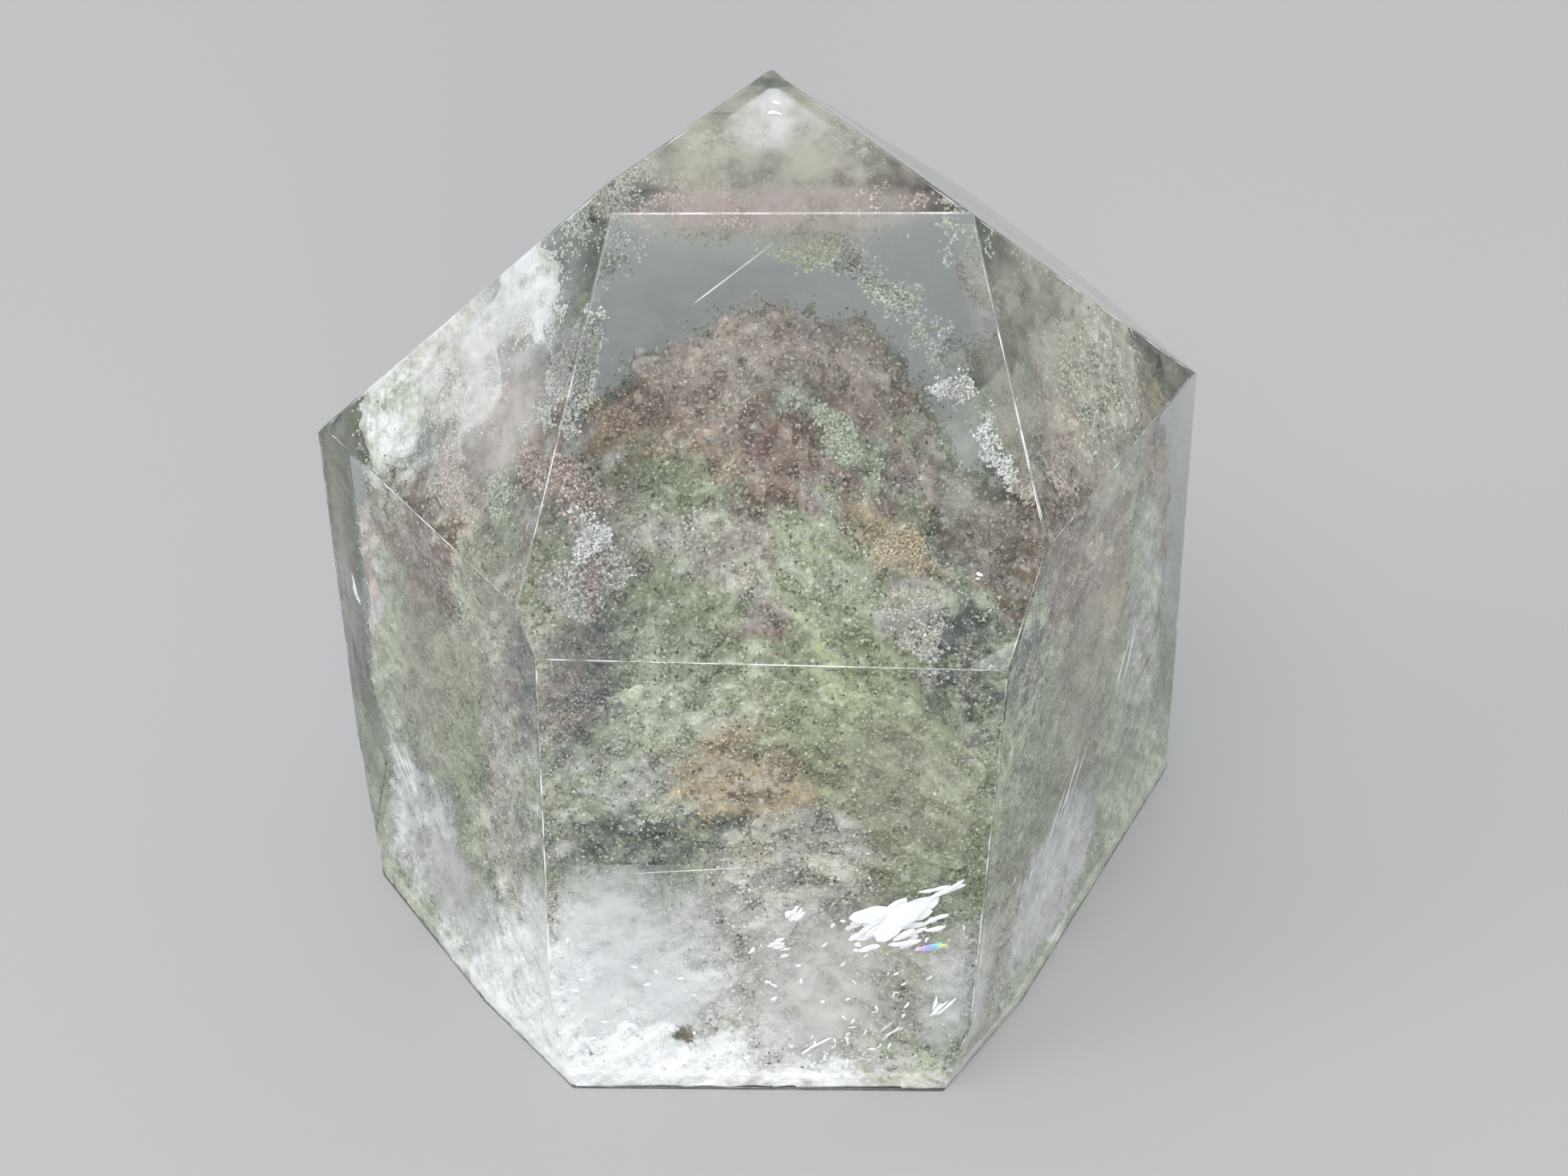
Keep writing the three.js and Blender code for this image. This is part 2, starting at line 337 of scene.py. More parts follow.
# flecks: how many stand loose in the clear quartz there; a cloud with none only colours the dense
# garden. depth: the cloud is also a dense lump that goes this far in. pepper: it is crisp specks,
# and this much of it is covered
clouds = {
    # behind the big front crown face
    "greenPeak": laid(
        "frontCrown", (1.8, -0.2, 37.6), (1.9, 1.2, 0.8), "brightSage", "paleSage", flecks=1500),
    "paleArmRight": laid(
        "frontCrown", (4.6, 0.2, 35.5), (1.3, 3.8, 0.7), "paleSage", "smoke", slant=-50, flecks=4200),
    "paleArmRightLow": laid(
        "frontCrown", (8.6, -3.2, 32.4), (1.0, 3.0, 0.7), "paleSage", "smoke", slant=-34, flecks=1900),
    "rustCap": laid("frontCrown", (0.6, 0.0, 32.4), (4.2, 1.5, 1.2), "rust", "mauve"),
    "rustShoulderLeft": laid("frontCrown", (-3.6, -2.8, 31.6), (3.4, 1.3, 1.0), "mauve", "rust", slant=30),
    "rustShoulderRight": laid("frontCrown", (4.4, -3.0, 31.3), (3.0, 1.2, 1.0), "rust", "mauve", slant=-32),
    "orangeSmudge": laid(
        "frontCrown", (-6.4, -4.0, 31.6), (2.1, 0.9, 0.6), "ochre", "rust", slant=30, flecks=900),
    "rustFarLeft": laid(
        "frontCrown", (-7.9, -6.1, 29.3), (2.2, 1.4, 0.8), "rose", "mauve", slant=30, flecks=1500),
    "maroonHeart": laid("frontCrown", (0.7, -4.6, 30.8), (1.7, 1.1, 0.6), "maroon", "maroon", pepper=0.52),
    "rustPepper": laid("frontCrown", (0.6, -3.0, 31.8), (5.4, 2.4, 0.6), "maroon", "umber", pepper=0.38),
    "rustBelow": laid("frontCrown", (0.9, -5.8, 29.7), (1.8, 1.5, 0.7), "mauve", "rust"),
    "greenArmRight": laid(
        "frontCrown", (3.3, -4.9, 31.0), (0.8, 3.0, 0.6), "paleSage", "sage", slant=-44, flecks=900),
    "rustArmRight": laid("frontCrown", (6.3, -6.2, 29.3), (2.4, 1.1, 0.7), "rust", "mauve", slant=-38),
    "slateRight": laid("frontCrown", (9.4, -7.6, 28.4), (1.6, 3.4, 0.6), "slate", "sage", slant=-6),
    "greenArmRightLow": laid(
        "frontCrown", (5.4, -7.0, 28.6), (0.8, 2.6, 0.6), "sage", "paleSage", slant=-44),
    "greenArmLeft": laid("frontCrown", (-4.6, -6.4, 29.1), (3.4, 1.0, 0.7), "sage", "olive", slant=36),
    "sandArmLeft": laid("frontCrown", (-1.4, -6.0, 29.8), (2.3, 0.7, 0.6), "sand", "rust", slant=36),
    "beigeArmLeft": laid("frontCrown", (-4.2, -7.9, 27.6), (3.8, 1.1, 0.7), "beige", "smoke", slant=36),
    "greenLowerLeft": laid("frontCrown", (-3.4, -9.6, 25.5), (3.6, 1.2, 0.7), "sage", "olive", slant=36),
    "mauveLeft": laid(
        "frontCrown", (-7.6, -8.6, 27.0), (2.0, 2.2, 0.8), "mauve", "smoke", slant=20, flecks=1500),
    "mauveMiddle": laid("frontCrown", (-1.4, -8.2, 27.1), (1.5, 1.3, 0.6), "mauve", "beige"),
    "sageHeart": laid(
        "frontCrown", (2.3, -8.5, 26.4), (2.4, 2.7, 0.7), "brightSage", "paleSage", slant=-24),
    "ochreRight": laid("frontCrown", (5.8, -8.2, 27.2), (1.6, 1.5, 0.6), "ochre", "sand", flecks=900),
    "beigeLowRight": laid("frontCrown", (6.6, -10.2, 25.2), (2.0, 1.6, 0.6), "smoke", "beige", flecks=900),
    "whitePuffLeft": laid(
        "frontCrown", (-7.2, -8.0, 28.4), (0.9, 1.6, 0.5), "milk", "smoke", slant=10, flecks=900),
    "whiteEdgeLeft": laid(
        "frontCrown", (-7.6, -4.4, 33.6), (0.7, 2.6, 0.6), "smoke", "paleSage", slant=14, flecks=1100),
    "whiteEdgeRight": laid(
        "frontCrown", (9.9, -7.4, 31.6), (0.7, 2.0, 0.4), "smoke", "milk", slant=-14, flecks=420),
    "whitePuffRight": laid("frontCrown", (8.2, -5.2, 33.6), (0.9, 0.8, 0.4), "milk", "smoke", flecks=420),
    # behind the upright front face
    "mauveFrontLeft": laid("front", (-8.3, -10.8, 22.4), (1.6, 2.4, 0.8), "mauve", "slate", flecks=1000),
    "greyGreenFront": laid("front", (-4.4, -10.6, 22.2), (3.0, 2.2, 0.8), "paleSage", "sage"),
    "mauveFrontMiddle": laid("front", (-0.2, -10.9, 24.0), (1.0, 0.8, 0.5), "mauve", "maroon"),
    "sageFront": laid("front", (3.4, -10.8, 21.2), (2.9, 3.1, 0.8), "brightSage", "olive"),
    "peachFront": laid("front", (5.8, -11.4, 24.3), (1.4, 0.8, 0.4), "beige", "rose"),
    "blackClump": laid("front", (8.3, -9.9, 22.4), (2.2, 1.7, 0.4), "moss", "slate", pepper=0.62),
    "blackClumpLow": laid("front", (9.4, -9.2, 20.0), (1.4, 2.2, 0.5), "moss", "slate", pepper=0.52),
    "ochreFront": laid("front", (-1.1, -10.7, 18.2), (2.1, 2.3, 0.7), "sand", "ochre"),
    "umberSpecks": laid("front", (-1.0, -11.4, 17.8), (2.8, 2.2, 0.3), "umber", "umber", pepper=0.47),
    "sageFrontRight": laid("front", (6.0, -10.6, 17.0), (2.6, 3.2, 0.8), "sage", "olive", slant=-30),
    "greyFrontLeft": laid("front", (-6.4, -10.3, 17.2), (3.4, 2.3, 0.9), "smoke", "sage"),
    "blackHolesLeft": laid("front", (-5.4, -11.2, 14.8), (4.2, 1.5, 0.4), "moss", "slate", pepper=0.52),
    "slateShadeLeft": laid("front", (-5.4, -11.2, 14.6), (3.6, 1.2, 0.4), "slate", "sage"),
    "darkClumpFoot": laid("front", (-4.2, -12.4, 3.0), (0.4, 0.5, 0.3), "moss", "umber", pepper=0.7),
    "darkHolesLeft": laid("left", (-12.4, -6.4, 13.0), (1.8, 1.6, 0.5), "moss", "olive", pepper=0.45),
    "darkHolesRight": laid("right", (12.4, -5.2, 23.6), (1.6, 2.6, 0.5), "umber", "maroon", pepper=0.4),
    "brownHaze": laid("front", (1.8, -9.8, 13.0), (3.2, 2.6, 1.0), "smoke", "beige"),
    "oliveLowRight": laid("front", (7.2, -10.2, 12.0), (2.0, 3.6, 0.9), "olive", "sage", slant=-20),
    "frostLowLeft": laid("front", (-6.6, -9.6, 5.2), (4.4, 3.6, 1.8), "frost", "milk", flecks=900),
    "frostFloor": laid("base", (-6.5, -6.0, 1.3), (6.0, 7.0, 0.7), "frost", "milk"),
    "frostFootLeft": laid("front", (-6.0, -11.8, 2.0), (4.6, 3.0, 0.7), "frost", "milk"),
    "hazeFoot": laid("front", (0.6, -11.8, 2.4), (3.2, 3.6, 0.7), "milk", "smoke"),
    "sageFoot": laid("front", (6.4, -11.8, 2.8), (3.2, 3.2, 0.7), "smoke", "sage"),
    "hazeLowMiddle": laid("front", (2.5, -9.8, 6.0), (5.2, 4.4, 1.6), "haze", "beige"),
    "hazeLowLeft": laid("front", (-0.6, -11.0, 6.4), (3.2, 4.6, 1.0), "haze", "smoke"),
    # left side
    "fluffLeftHigh": laid(
        "leftCrown", (-8.6, 0.6, 34.4), (3.2, 2.0, 0.8), "milk", "frost", slant=14, flecks=3400,
        depth=2.6),
    "fluffLeft": laid(
        "leftCrown", (-12.4, 1.6, 30.6), (4.4, 2.8, 0.9), "milk", "beige", slant=10, flecks=4200,
        depth=3.0),
    "fluffLeftLow": laid(
        "leftCrown", (-15.4, 2.4, 27.2), (2.4, 2.4, 0.7), "milk", "paleSage", flecks=2000, depth=3.0),
    "roseLeft": laid("leftCrown", (-10.2, -1.8, 30.4), (2.6, 2.2, 0.8), "rose", "milk"),
    "greenLeftCrown": laid(
        "leftCrown", (-9.9, -5.6, 28.2), (1.6, 1.5, 0.6), "sage", "paleSage", flecks=1300),
    "beigeLeftCrown": laid("leftCrown", (-12.6, -2.6, 27.4), (2.2, 1.8, 0.7), "beige", "rose", flecks=1600),
    "brownLeft": laid("left", (-13.4, -1.4, 22.6), (2.4, 2.4, 0.8), "mauve", "umber"),
    "beigeLeft": laid("left", (-12.2, -6.0, 21.4), (1.7, 3.0, 0.7), "beige", "sage", flecks=900),
    "oliveLeft": laid("left", (-12.8, -4.2, 15.8), (3.0, 3.0, 0.8), "olive", "sage"),
    "greyLeftLow": laid("left", (-11.2, -8.4, 13.6), (1.7, 4.2, 0.7), "smoke", "beige"),
    "roseLeftEdge": laid("left", (-17.6, 3.4, 19.0), (1.2, 4.5, 0.6), "rose", "smoke"),
    "frostLeftLow": laid("left", (-15.2, -0.6, 5.6), (3.4, 2.6, 0.9), "smoke", "milk", slant=25),
    # right side
    "mistRightCrown": laid(
        "rightCrown", (13.4, 0.2, 30.0), (4.2, 3.0, 1.0), "paleSage", "beige", flecks=3600, depth=3.0),
    "roseRightCrown": laid(
        "rightCrown", (11.2, -4.6, 29.2), (1.8, 2.8, 0.8), "rose", "beige", slant=10, flecks=2600),
    "umberRight": laid("right", (12.0, -5.4, 25.2), (1.8, 2.8, 0.7), "umber", "mauve"),
    "roseRight": laid("right", (13.6, -3.0, 22.4), (1.6, 3.0, 0.7), "mauve", "sand"),
    "ochreRight2": laid("right", (14.2, -1.2, 19.0), (1.0, 3.6, 0.6), "ochre", "sand"),
    "oliveRight": laid("right", (13.0, -3.4, 14.8), (3.2, 4.0, 0.9), "olive", "sage"),
    "oliveRightEdge": laid("right", (16.8, 3.8, 16.5), (2.0, 6.5, 0.8), "sage", "smoke"),
    "frostRightLow": laid("right", (12.2, -4.8, 5.0), (3.8, 2.4, 0.9), "smoke", "frost"),
    # tip
    "tableMauve": laid("table", (0.9, -1.5, 40.1), (7.0, 0.7, 0.4), "mauve", "rose", flecks=1600),
    "mistLeftSeam": laid(
        "leftCrown", (-8.0, -4.0, 33.2), (0.9, 4.0, 0.6), "smoke", "paleSage", flecks=1500),
    "mistLeftEdge": laid(
        "leftCrown", (-5.6, 1.6, 37.0), (2.4, 3.6, 0.8), "smoke", "paleSage", slant=-30, flecks=900),
    "mistRightEdge": laid(
        "rightCrown", (9.8, 2.4, 35.4), (5.6, 1.8, 0.8), "paleSage", "smoke", slant=34, flecks=1000),
    "tableBand": laid("table", (0.9, 4.2, 35.6), (6.0, 1.3, 0.8), "mauve", "sand", flecks=3200),
    "tableBandPale": laid("table", (0.9, 5.4, 37.4), (4.6, 1.2, 0.8), "beige", "paleSage", flecks=2400),
    # back
    "sageBack": laid("back", (-3.0, 10.6, 19.0), (8.5, 7.5, 0.9), "sage", "olive"),
    "sandBack": laid("back", (-5.4, 10.8, 23.6), (2.6, 3.6, 0.9), "sand", "beige", slant=-30),
    "mauveBack": laid("back", (1.0, 10.8, 15.4), (4.6, 1.8, 0.9), "mauve", "rose", slant=12),
    "darkBack": laid("back", (-2.4, 10.6, 14.0), (5.6, 2.2, 0.5), "moss", "slate", pepper=0.5),
    "umberBackRight": laid("backRight", (15.0, 7.4, 21.0), (2.6, 4.6, 0.5), "mauve", "ochre"),
    "rustBack": laid("back", (6.5, 10.6, 22.0), (4.6, 4.4, 0.9), "mauve", "rust", slant=30),
    "paleBack": laid("back", (1.0, 10.9, 9.0), (8.0, 3.4, 0.8), "smoke", "frost"),
    "backCrownMist": laid("backCrown", (1.5, 8.6, 33.6), (5.0, 3.4, 0.8), "paleSage", "mauve", flecks=3600),
    "backLeftCrownFluff": laid(
        "backLeftCrown", (-9.6, 7.0, 29.6), (5.0, 4.4, 0.9), "smoke", "sage", flecks=3600),
    "backRightCrownRose": laid(
        "backRightCrown", (11.2, 6.6, 29.4), (3.4, 4.0, 0.9), "rose", "smoke", flecks=2600),
    "backLeftSage": laid("backLeft", (-14.6, 7.4, 15.0), (3.4, 7.0, 0.9), "sage", "mauve"),
}


def faceAxes(lies, slant):
    # across, down and inward directions of a patch that lies along a face
    outward = direction(*facing[lies])
    level = abs(outward[2]) > nearlyLevel
    upright = np.array([0.0, 1.0, 0.0]) if level else np.array([0.0, 0.0, 1.0])
    across = np.cross(upright, outward)
    across /= np.linalg.norm(across)
    down = np.cross(across, outward)
    turn = math.radians(slant)
    turnedAcross = across * math.cos(turn) + down * math.sin(turn)
    turnedDown = down * math.cos(turn) - across * math.sin(turn)
    return np.array([turnedAcross, turnedDown, -outward])


loose = {
    "overrun": 1.15,
    "flatness": 0.3,
    "wave": (2.6, 1.4),
    "sway": (1.8, 1.3),
    "tear": 1.5,
    "tearShare": 0.9,
    "fineTear": 0.4,
    "fineShare": 0.5,
    "thinning": 0.4,
    "blur": 0.08,
    "clearance": 0.35,
    "kept": 0.68,
    "patch": 0.9,
    "patchFrom": 0.32,
    "patchBlend": 0.36,
    "lightness": 0.14,
    "seedSteps": {"wave": 3, "sway": 4, "patch": 7, "fineTear": 9},
}


def cloudPoints(spec, rng, seed):
    # a thin torn sheet of points, gently wavy, all inside the stone
    axes = faceAxes(spec["lies"], spec.get("slant", 0))
    wanted = spec["flecks"]
    (waveSize, waveHeight), (swaySize, swayWidth) = loose["wave"], loose["sway"]
    tear = min(loose["tear"], loose["tearShare"] * min(spec["reach"][:2]))
    steps = loose["seedSteps"]
    kept = np.zeros((0, 3))
    while len(kept) < wanted:
        local = rng.uniform(-loose["overrun"], loose["overrun"], (wanted * 3, 3))
        radius = np.hypot(local[:, 0], local[:, 1])
        local[:, 2] = rng.normal(0.0, loose["flatness"], len(local))
        points = np.array(spec["at"]) + (local * np.array(spec["reach"])) @ axes
        points += (lumps(points, waveSize, seed + steps["wave"])[:, None] - 0.5) * waveHeight * axes[2]
        points += (lumps(points, swaySize, seed + steps["sway"])[:, None] - 0.5) * swayWidth * axes[0]
        fine = grain(points, loose["fineTear"] * tear, seed + steps["fineTear"])
        torn = grain(points, tear, seed) + loose["fineShare"] * fine
        torn -= loose["thinning"] * radius ** 2
        torn += loose["blur"] * rng.normal(size=len(points))
        inside = depthInside(points) > loose["clearance"]
        kept = np.concatenate([kept, points[inside & (torn > loose["kept"])]])
    return kept[:wanted]


def cloudColours(spec, points, rng, seed):
    # the cloud's two tints in patches, with each fleck a little lighter or darker
    first, second = (np.array(tints[name]) for name in spec["tint"])
    patch = grain(points, loose["patch"], seed + loose["seedSteps"]["patch"])
    patch = (patch - loose["patchFrom"]) / loose["patchBlend"]
    patch = np.clip(patch, 0, 1)[:, None]
    light = np.exp(rng.normal(0.0, loose["lightness"], (len(points), 1)))
    return np.clip((first * (1 - patch) + second * patch) * light, darkest, 1.0)


def mineralOf(spec):
    return next(name for name, members in minerals.items() if spec["tint"][0] in members)


def growGarden(allClouds):
    # the loose flecks of each mineral: their places in mm and their colours
    rng = np.random.default_rng(seeds["garden"])
    grown = {name: ([], []) for name in minerals}
    for number, spec in enumerate(allClouds.values()):
        if "flecks" in spec:
            places, colours = grown[mineralOf(spec)]
            seed = seeds["cloudStep"] * number
            places.append(cloudPoints(spec, rng, seed))
            colours.append(cloudColours(spec, places[-1], rng, seed))
    return {name: (np.concatenate(p), np.concatenate(c)) for name, (p, c) in grown.items()}


garden = growGarden(clouds)
for mineral, (places, colours) in garden.items():
    say(f"{len(places)} flecks of {mineral}")


# node trees, and the shader group that every mineral finish uses

def newTree(kind, name, inputs, outputs):
    tree = bpy.data.node_groups.new(name, kind)
    for label, sort, value in inputs:
        socket = tree.interface.new_socket(label, in_out="INPUT", socket_type="NodeSocket" + sort)
        if value is not None:
            socket.default_value = value
    for label, sort in outputs:
        tree.interface.new_socket(label, in_out="OUTPUT", socket_type="NodeSocket" + sort)
    return tree, tree.nodes.new("NodeGroupInput").outputs, tree.nodes.new("NodeGroupOutput")


def finishTree(tree, shape, finish, result):
    # every geometry tree ends in plain mesh with its material on
    real = addNode(tree, "GeometryNodeRealizeInstances", {"Geometry": shape})
    finished = addNode(tree, "GeometryNodeSetMaterial",
                       {"Geometry": real.outputs["Geometry"], "Material": finish})
    setInputs(tree, result, {0: finished.outputs["Geometry"]})


def calculate(tree, kind, first, second):
    return addNode(tree, "ShaderNodeMath", {0: first, 1: second}, operation=kind).outputs[0]


def scaledVector(tree, vector, scale):
    node = addNode(tree, "ShaderNodeVectorMath", {0: vector, "Scale": scale}, operation="SCALE")
    return node.outputs[0]


def smoothMask(tree, value, start, end):
    # 0 below start and 1 above end, or the other way round where start is the larger
    ramp = addNode(tree, "ShaderNodeMapRange", {"From Min": start, "From Max": end, "Value": value},
                   interpolation_type="SMOOTHSTEP")
    return ramp.outputs["Result"]


# how rough every noise pattern is
noiseRoughness = 0.62


def noisePattern(tree, place, perMetre, detail):
    noise = addNode(tree, "ShaderNodeTexNoise",
                    {"Detail": detail, "Roughness": noiseRoughness, "Vector": place, "Scale": perMetre})
    return noise.outputs["Fac"]


def mixColour(tree, share, first, second):
    return addNode(tree, "ShaderNodeMix", {0: share, 6: first, 7: second}, data_type="RGBA").outputs[2]


# the old crystal inside the stone: where its front ridge stands, and how its faces fall away
ridge = {"x": 0.7, "fall": 0.78, "roofFall": 0.68, "across": 0.22, "deep": 0.3}

mottleSettings = {
    "streakSize": 0.75,
    "paleFrom": 0.95,
    "roughBelow": 0.55,
    "paleContrast": 0.25,
    "brightSize": 0.26,
    "brightBand": (0.60, 0.70),
    "brightColour": (0.86, 0.87, 0.82, 1),
    "darkSize": 0.55,
    "darkBand": (0.37, 0.28),
    "darkColour": (0.13, 0.12, 0.09, 1),
}


def makeMottle(settings):
    # grains, streaks along the old crystal's faces, and bright and dark specks
    tree, given, result = newTree(
        "ShaderNodeTree", "mineralMottle",
        [("Colour", "Color", (0.5, 0.5, 0.5, 1)), ("Grain Size", "Float", 0.3), ("Contrast", "Float", 0.5),
         ("Streaks", "Float", 0.4), ("Bright Specks", "Float", 0.5), ("Dark Specks", "Float", 0.5)],
        [("Colour", "Color"), ("Height", "Float")])
    place = tree.nodes.new("ShaderNodeTexCoord").outputs["Object"]

    # the streaks fall away to both sides of the old crystal's front ridge
    split = addNode(tree, "ShaderNodeSeparateXYZ", {0: place}).outputs
    offRidge = calculate(tree, "SUBTRACT", split["X"], ridge["x"] * mm)
    fallen = calculate(tree, "MULTIPLY", calculate(tree, "ABSOLUTE", offRidge, 0.0), ridge["fall"])
    backed = calculate(tree, "MULTIPLY", split["Y"], ridge["roofFall"])
    level = calculate(tree, "ADD", calculate(tree, "ADD", split["Z"], fallen), backed)
    along = calculate(tree, "MULTIPLY", offRidge, ridge["across"])
    inward = calculate(tree, "MULTIPLY", split["Y"], ridge["deep"])
    lines = addNode(tree, "ShaderNodeCombineXYZ", {0: along, 1: inward, 2: level}).outputs[0]

    grains = noisePattern(tree, place, calculate(tree, "DIVIDE", 1000.0, given["Grain Size"]), 2.0)
    streaks = noisePattern(tree, lines, 1000 / settings["streakSize"], 2.0)
    # the pale frost is smoother than the rest
    paleness = addNode(tree, "ShaderNodeRGBToBW", {0: given["Colour"]}).outputs[0]
    rough = smoothMask(tree, paleness, settings["paleFrom"], settings["roughBelow"])
    pale = settings["paleContrast"]
    coarse = calculate(tree, "ADD", calculate(tree, "MULTIPLY", rough, 1 - pale), pale)
    contrast = calculate(tree, "MULTIPLY", given["Contrast"], coarse)
    swing = calculate(tree, "MULTIPLY", calculate(tree, "SUBTRACT", grains, 0.5), contrast)
    sweep = calculate(tree, "MULTIPLY", calculate(tree, "SUBTRACT", streaks, 0.5), given["Streaks"])
    lightness = calculate(tree, "ADD", calculate(tree, "ADD", swing, sweep), 1.0)
    varied = scaledVector(tree, given["Colour"], lightness)

    brightNoise = noisePattern(tree, place, 1000 / settings["brightSize"], 1.0)
    bright = calculate(tree, "MULTIPLY", smoothMask(tree, brightNoise, *settings["brightBand"]),
                       given["Bright Specks"])
    darkNoise = noisePattern(tree, place, 1000 / settings["darkSize"], 1.0)
    dark = calculate(tree, "MULTIPLY", smoothMask(tree, darkNoise, *settings["darkBand"]),
                     calculate(tree, "MULTIPLY", given["Dark Specks"], coarse))
    speckled = mixColour(tree, bright, varied, settings["brightColour"])
    finished = mixColour(tree, dark, speckled, settings["darkColour"])
    setInputs(tree, result, {"Colour": finished, "Height": grains})
    return tree


mottle = makeMottle(mottleSettings)


def mineralMaterial(name, look):
    # the piece's own tint attribute, mottled
    material, tree, shader = newMaterial(name, {"Roughness": look["roughness"], "Specular IOR Level": 0.2})
    tint = addNode(tree, "ShaderNodeAttribute", attribute_name="tint")
    speckled = addNode(tree, "ShaderNodeGroup", node_tree=mottle)
    setInputs(tree, speckled, {
        "Grain Size": look["grainSize"], "Contrast": look["contrast"], "Streaks": look["streaks"],
        "Bright Specks": look["bright"], "Dark Specks": look["dark"], "Colour": tint.outputs["Color"]})
    setInputs(tree, shader, {"Base Color": speckled.outputs["Colour"]})
    if look["bump"]:
        relief = addNode(tree, "ShaderNodeBump", {
            "Strength": look["bump"], "Distance": look["grainSize"] * mm,
            "Height": speckled.outputs["Height"]})
        setInputs(tree, shader, {"Normal": relief.outputs["Normal"]})
    return material


plainLook = {"grainSize": 0.3, "contrast": 0.5, "streaks": 0.3, "bright": 0.0, "dark": 0.0,
             "roughness": 0.75, "bump": 0.0}
mineralLooks = {
    "chlorite": plainLook,
    "iron": {**plainLook, "roughness": 0.8},
    "veil": {**plainLook, "grainSize": 0.4, "contrast": 0.2, "streaks": 0.0, "roughness": 0.5},
    "heart": {"grainSize": 0.35, "contrast": 0.9, "streaks": 0.8, "bright": 0.55, "dark": 0.5,
              "roughness": 0.85, "bump": 0.5},
}
finishes = {name: mineralMaterial(name + "Grains", look) for name, look in mineralLooks.items()}


# flecks: tiny four-faced chips, one on each point of the garden

fleckSettings = {
    "chlorite": {"size": 0.1, "spread": 0.6, "seed": 3},
    "iron": {"size": 0.1, "spread": 0.6, "seed": 5},
    "veil": {"size": 0.085, "spread": 0.7, "seed": 8},
    "crust": {"size": 0.11, "spread": 0.6, "seed": 13},
}


def makeFleckTree():
    tree, given, result = newTree(
        "GeometryNodeTree", "flecksOnPoints",
        [("Points", "Geometry", None), ("Fleck Size", "Float", 0.0002), ("Size Spread", "Float", 0.5),
         ("Seed", "Int", 0), ("Finish", "Material", None)],
        [("Flecks", "Geometry")])
    chip = addNode(tree, "GeometryNodeMeshCone",
                   {"Vertices": 3, "Radius Top": 0.0, "Radius Bottom": 0.8, "Depth": 1.0})
    turn = addNode(tree, "FunctionNodeRandomValue", {1: (math.tau,) * 3, "Seed": given["Seed"]},
                   data_type="FLOAT_VECTOR")
    smallest = calculate(tree, "SUBTRACT", 1.0, given["Size Spread"])
    largest = calculate(tree, "ADD", 1.0, given["Size Spread"])
    stretch = addNode(tree, "FunctionNodeRandomValue", {0: smallest, 1: largest, "Seed": given["Seed"]},
                      data_type="FLOAT_VECTOR")
    place = addNode(tree, "GeometryNodeInstanceOnPoints", {
        "Points": given["Points"], "Instance": chip.outputs["Mesh"], "Rotation": turn.outputs[0],
        "Scale": scaledVector(tree, stretch.outputs[0], given["Fleck Size"])})
    finishTree(tree, place.outputs["Instances"], given["Finish"], result)
    return tree


def setTint(mesh, colours):
    rgba = np.concatenate([colours, np.ones((len(colours), 4 - colours.shape[1]))], axis=1)
    tint = mesh.attributes.get("tint") or mesh.attributes.new("tint", "FLOAT_COLOR", "POINT")
    tint.data.foreach_set("color", rgba.astype(np.float32).ravel())


def bake(holder):
    # the evaluated shape as a plain mesh, with no modifier left
    shape = bpy.data.meshes.new_from_object(holder.evaluated_get(bpy.context.evaluated_depsgraph_get()))
    holder.modifiers.clear()
    holder.data = shape


def growOnPoints(name, places, colours, tree, settings):
    # runs a geometry tree on points given in mm, each with its colour, and keeps the plain mesh
    mesh = bpy.data.meshes.new(name)
    mesh.vertices.add(len(places))
    mesh.vertices.foreach_set("co", (places * mm).astype(np.float32).ravel())
    setTint(mesh, colours)
    holder = addObject(name, mesh)
    grower = holder.modifiers.new("grower", "NODES")
    grower.node_group = tree
    for item in tree.interface.items_tree:
        if item.name in settings:
            grower[item.identifier] = settings[item.name]
    bake(holder)
    return holder


def makeFlecks(name, places, colours, spec, finish):
    holder = growOnPoints(name, places, colours, fleckTree, {
        "Fleck Size": spec["size"] * mm, "Size Spread": spec["spread"], "Seed": spec["seed"],
        "Finish": finish})
    say(f"{name}: {len(places)} flecks")
    return holder


fleckTree = makeFleckTree()


def addPiece(holder):
    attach(holder, "root")


for mineral, (places, colours) in garden.items():
    flecks = makeFlecks(mineral + "Flecks", places, colours, fleckSettings[mineral], finishes[mineral])
    addPiece(flecks)


# the heart of the garden: the dense lumpy mass behind the loose flecks

heart = {
    "spacing": 0.46,
    "jitter": 0.15,
    "ball": 0.46,
    "threshold": 0.3,
    "frontVoxel": 0.27,
    "backVoxel": 0.31,
    "split": 0.5,
    "inset": 0.5,
    "wall": 0.3,
    "floor": 0.25,
    "shell": 2.2,
    "culled": (-1.6, 2.6),
    "roofSlope": 0.7,
    "ragged": 4.4,
    "raggedSize": 1.1,
    "raggedDeep": 0.12,
    "roofLine": [(-9.6, 25.0), (-8.5, 26.6), (-7.0, 28.4), (-4.9, 30.4), (-2.5, 32.6), (0.6, 33.8),
                 (3.8, 33.0), (5.3, 31.6), (7.0, 28.8), (8.4, 25.6), (9.4, 23.6), (10.4, 23.2)],
    "roofLeft": [(24.0, -10.0), (38.6, -6.7)],
    "roofRight": [(20.0, 12.4), (38.6, 8.8)],
    "bigLumps": (3.0, 1.6),
    "midLumps": (1.2, 1.0),
    "smallLumps": (0.6, 0.5),
    "calmBelow": 5.0,
    "calmest": 0.1,
    "lumpOutward": 0.6,
    "rimSpacing": 0.24,
    "rimHeights": (0.3, 1.0),
    "rimDepths": (0.42, 1.1),
    "footCover": 0.35,
    "footSlope": 0.5,
    "skin": 0.14,
}


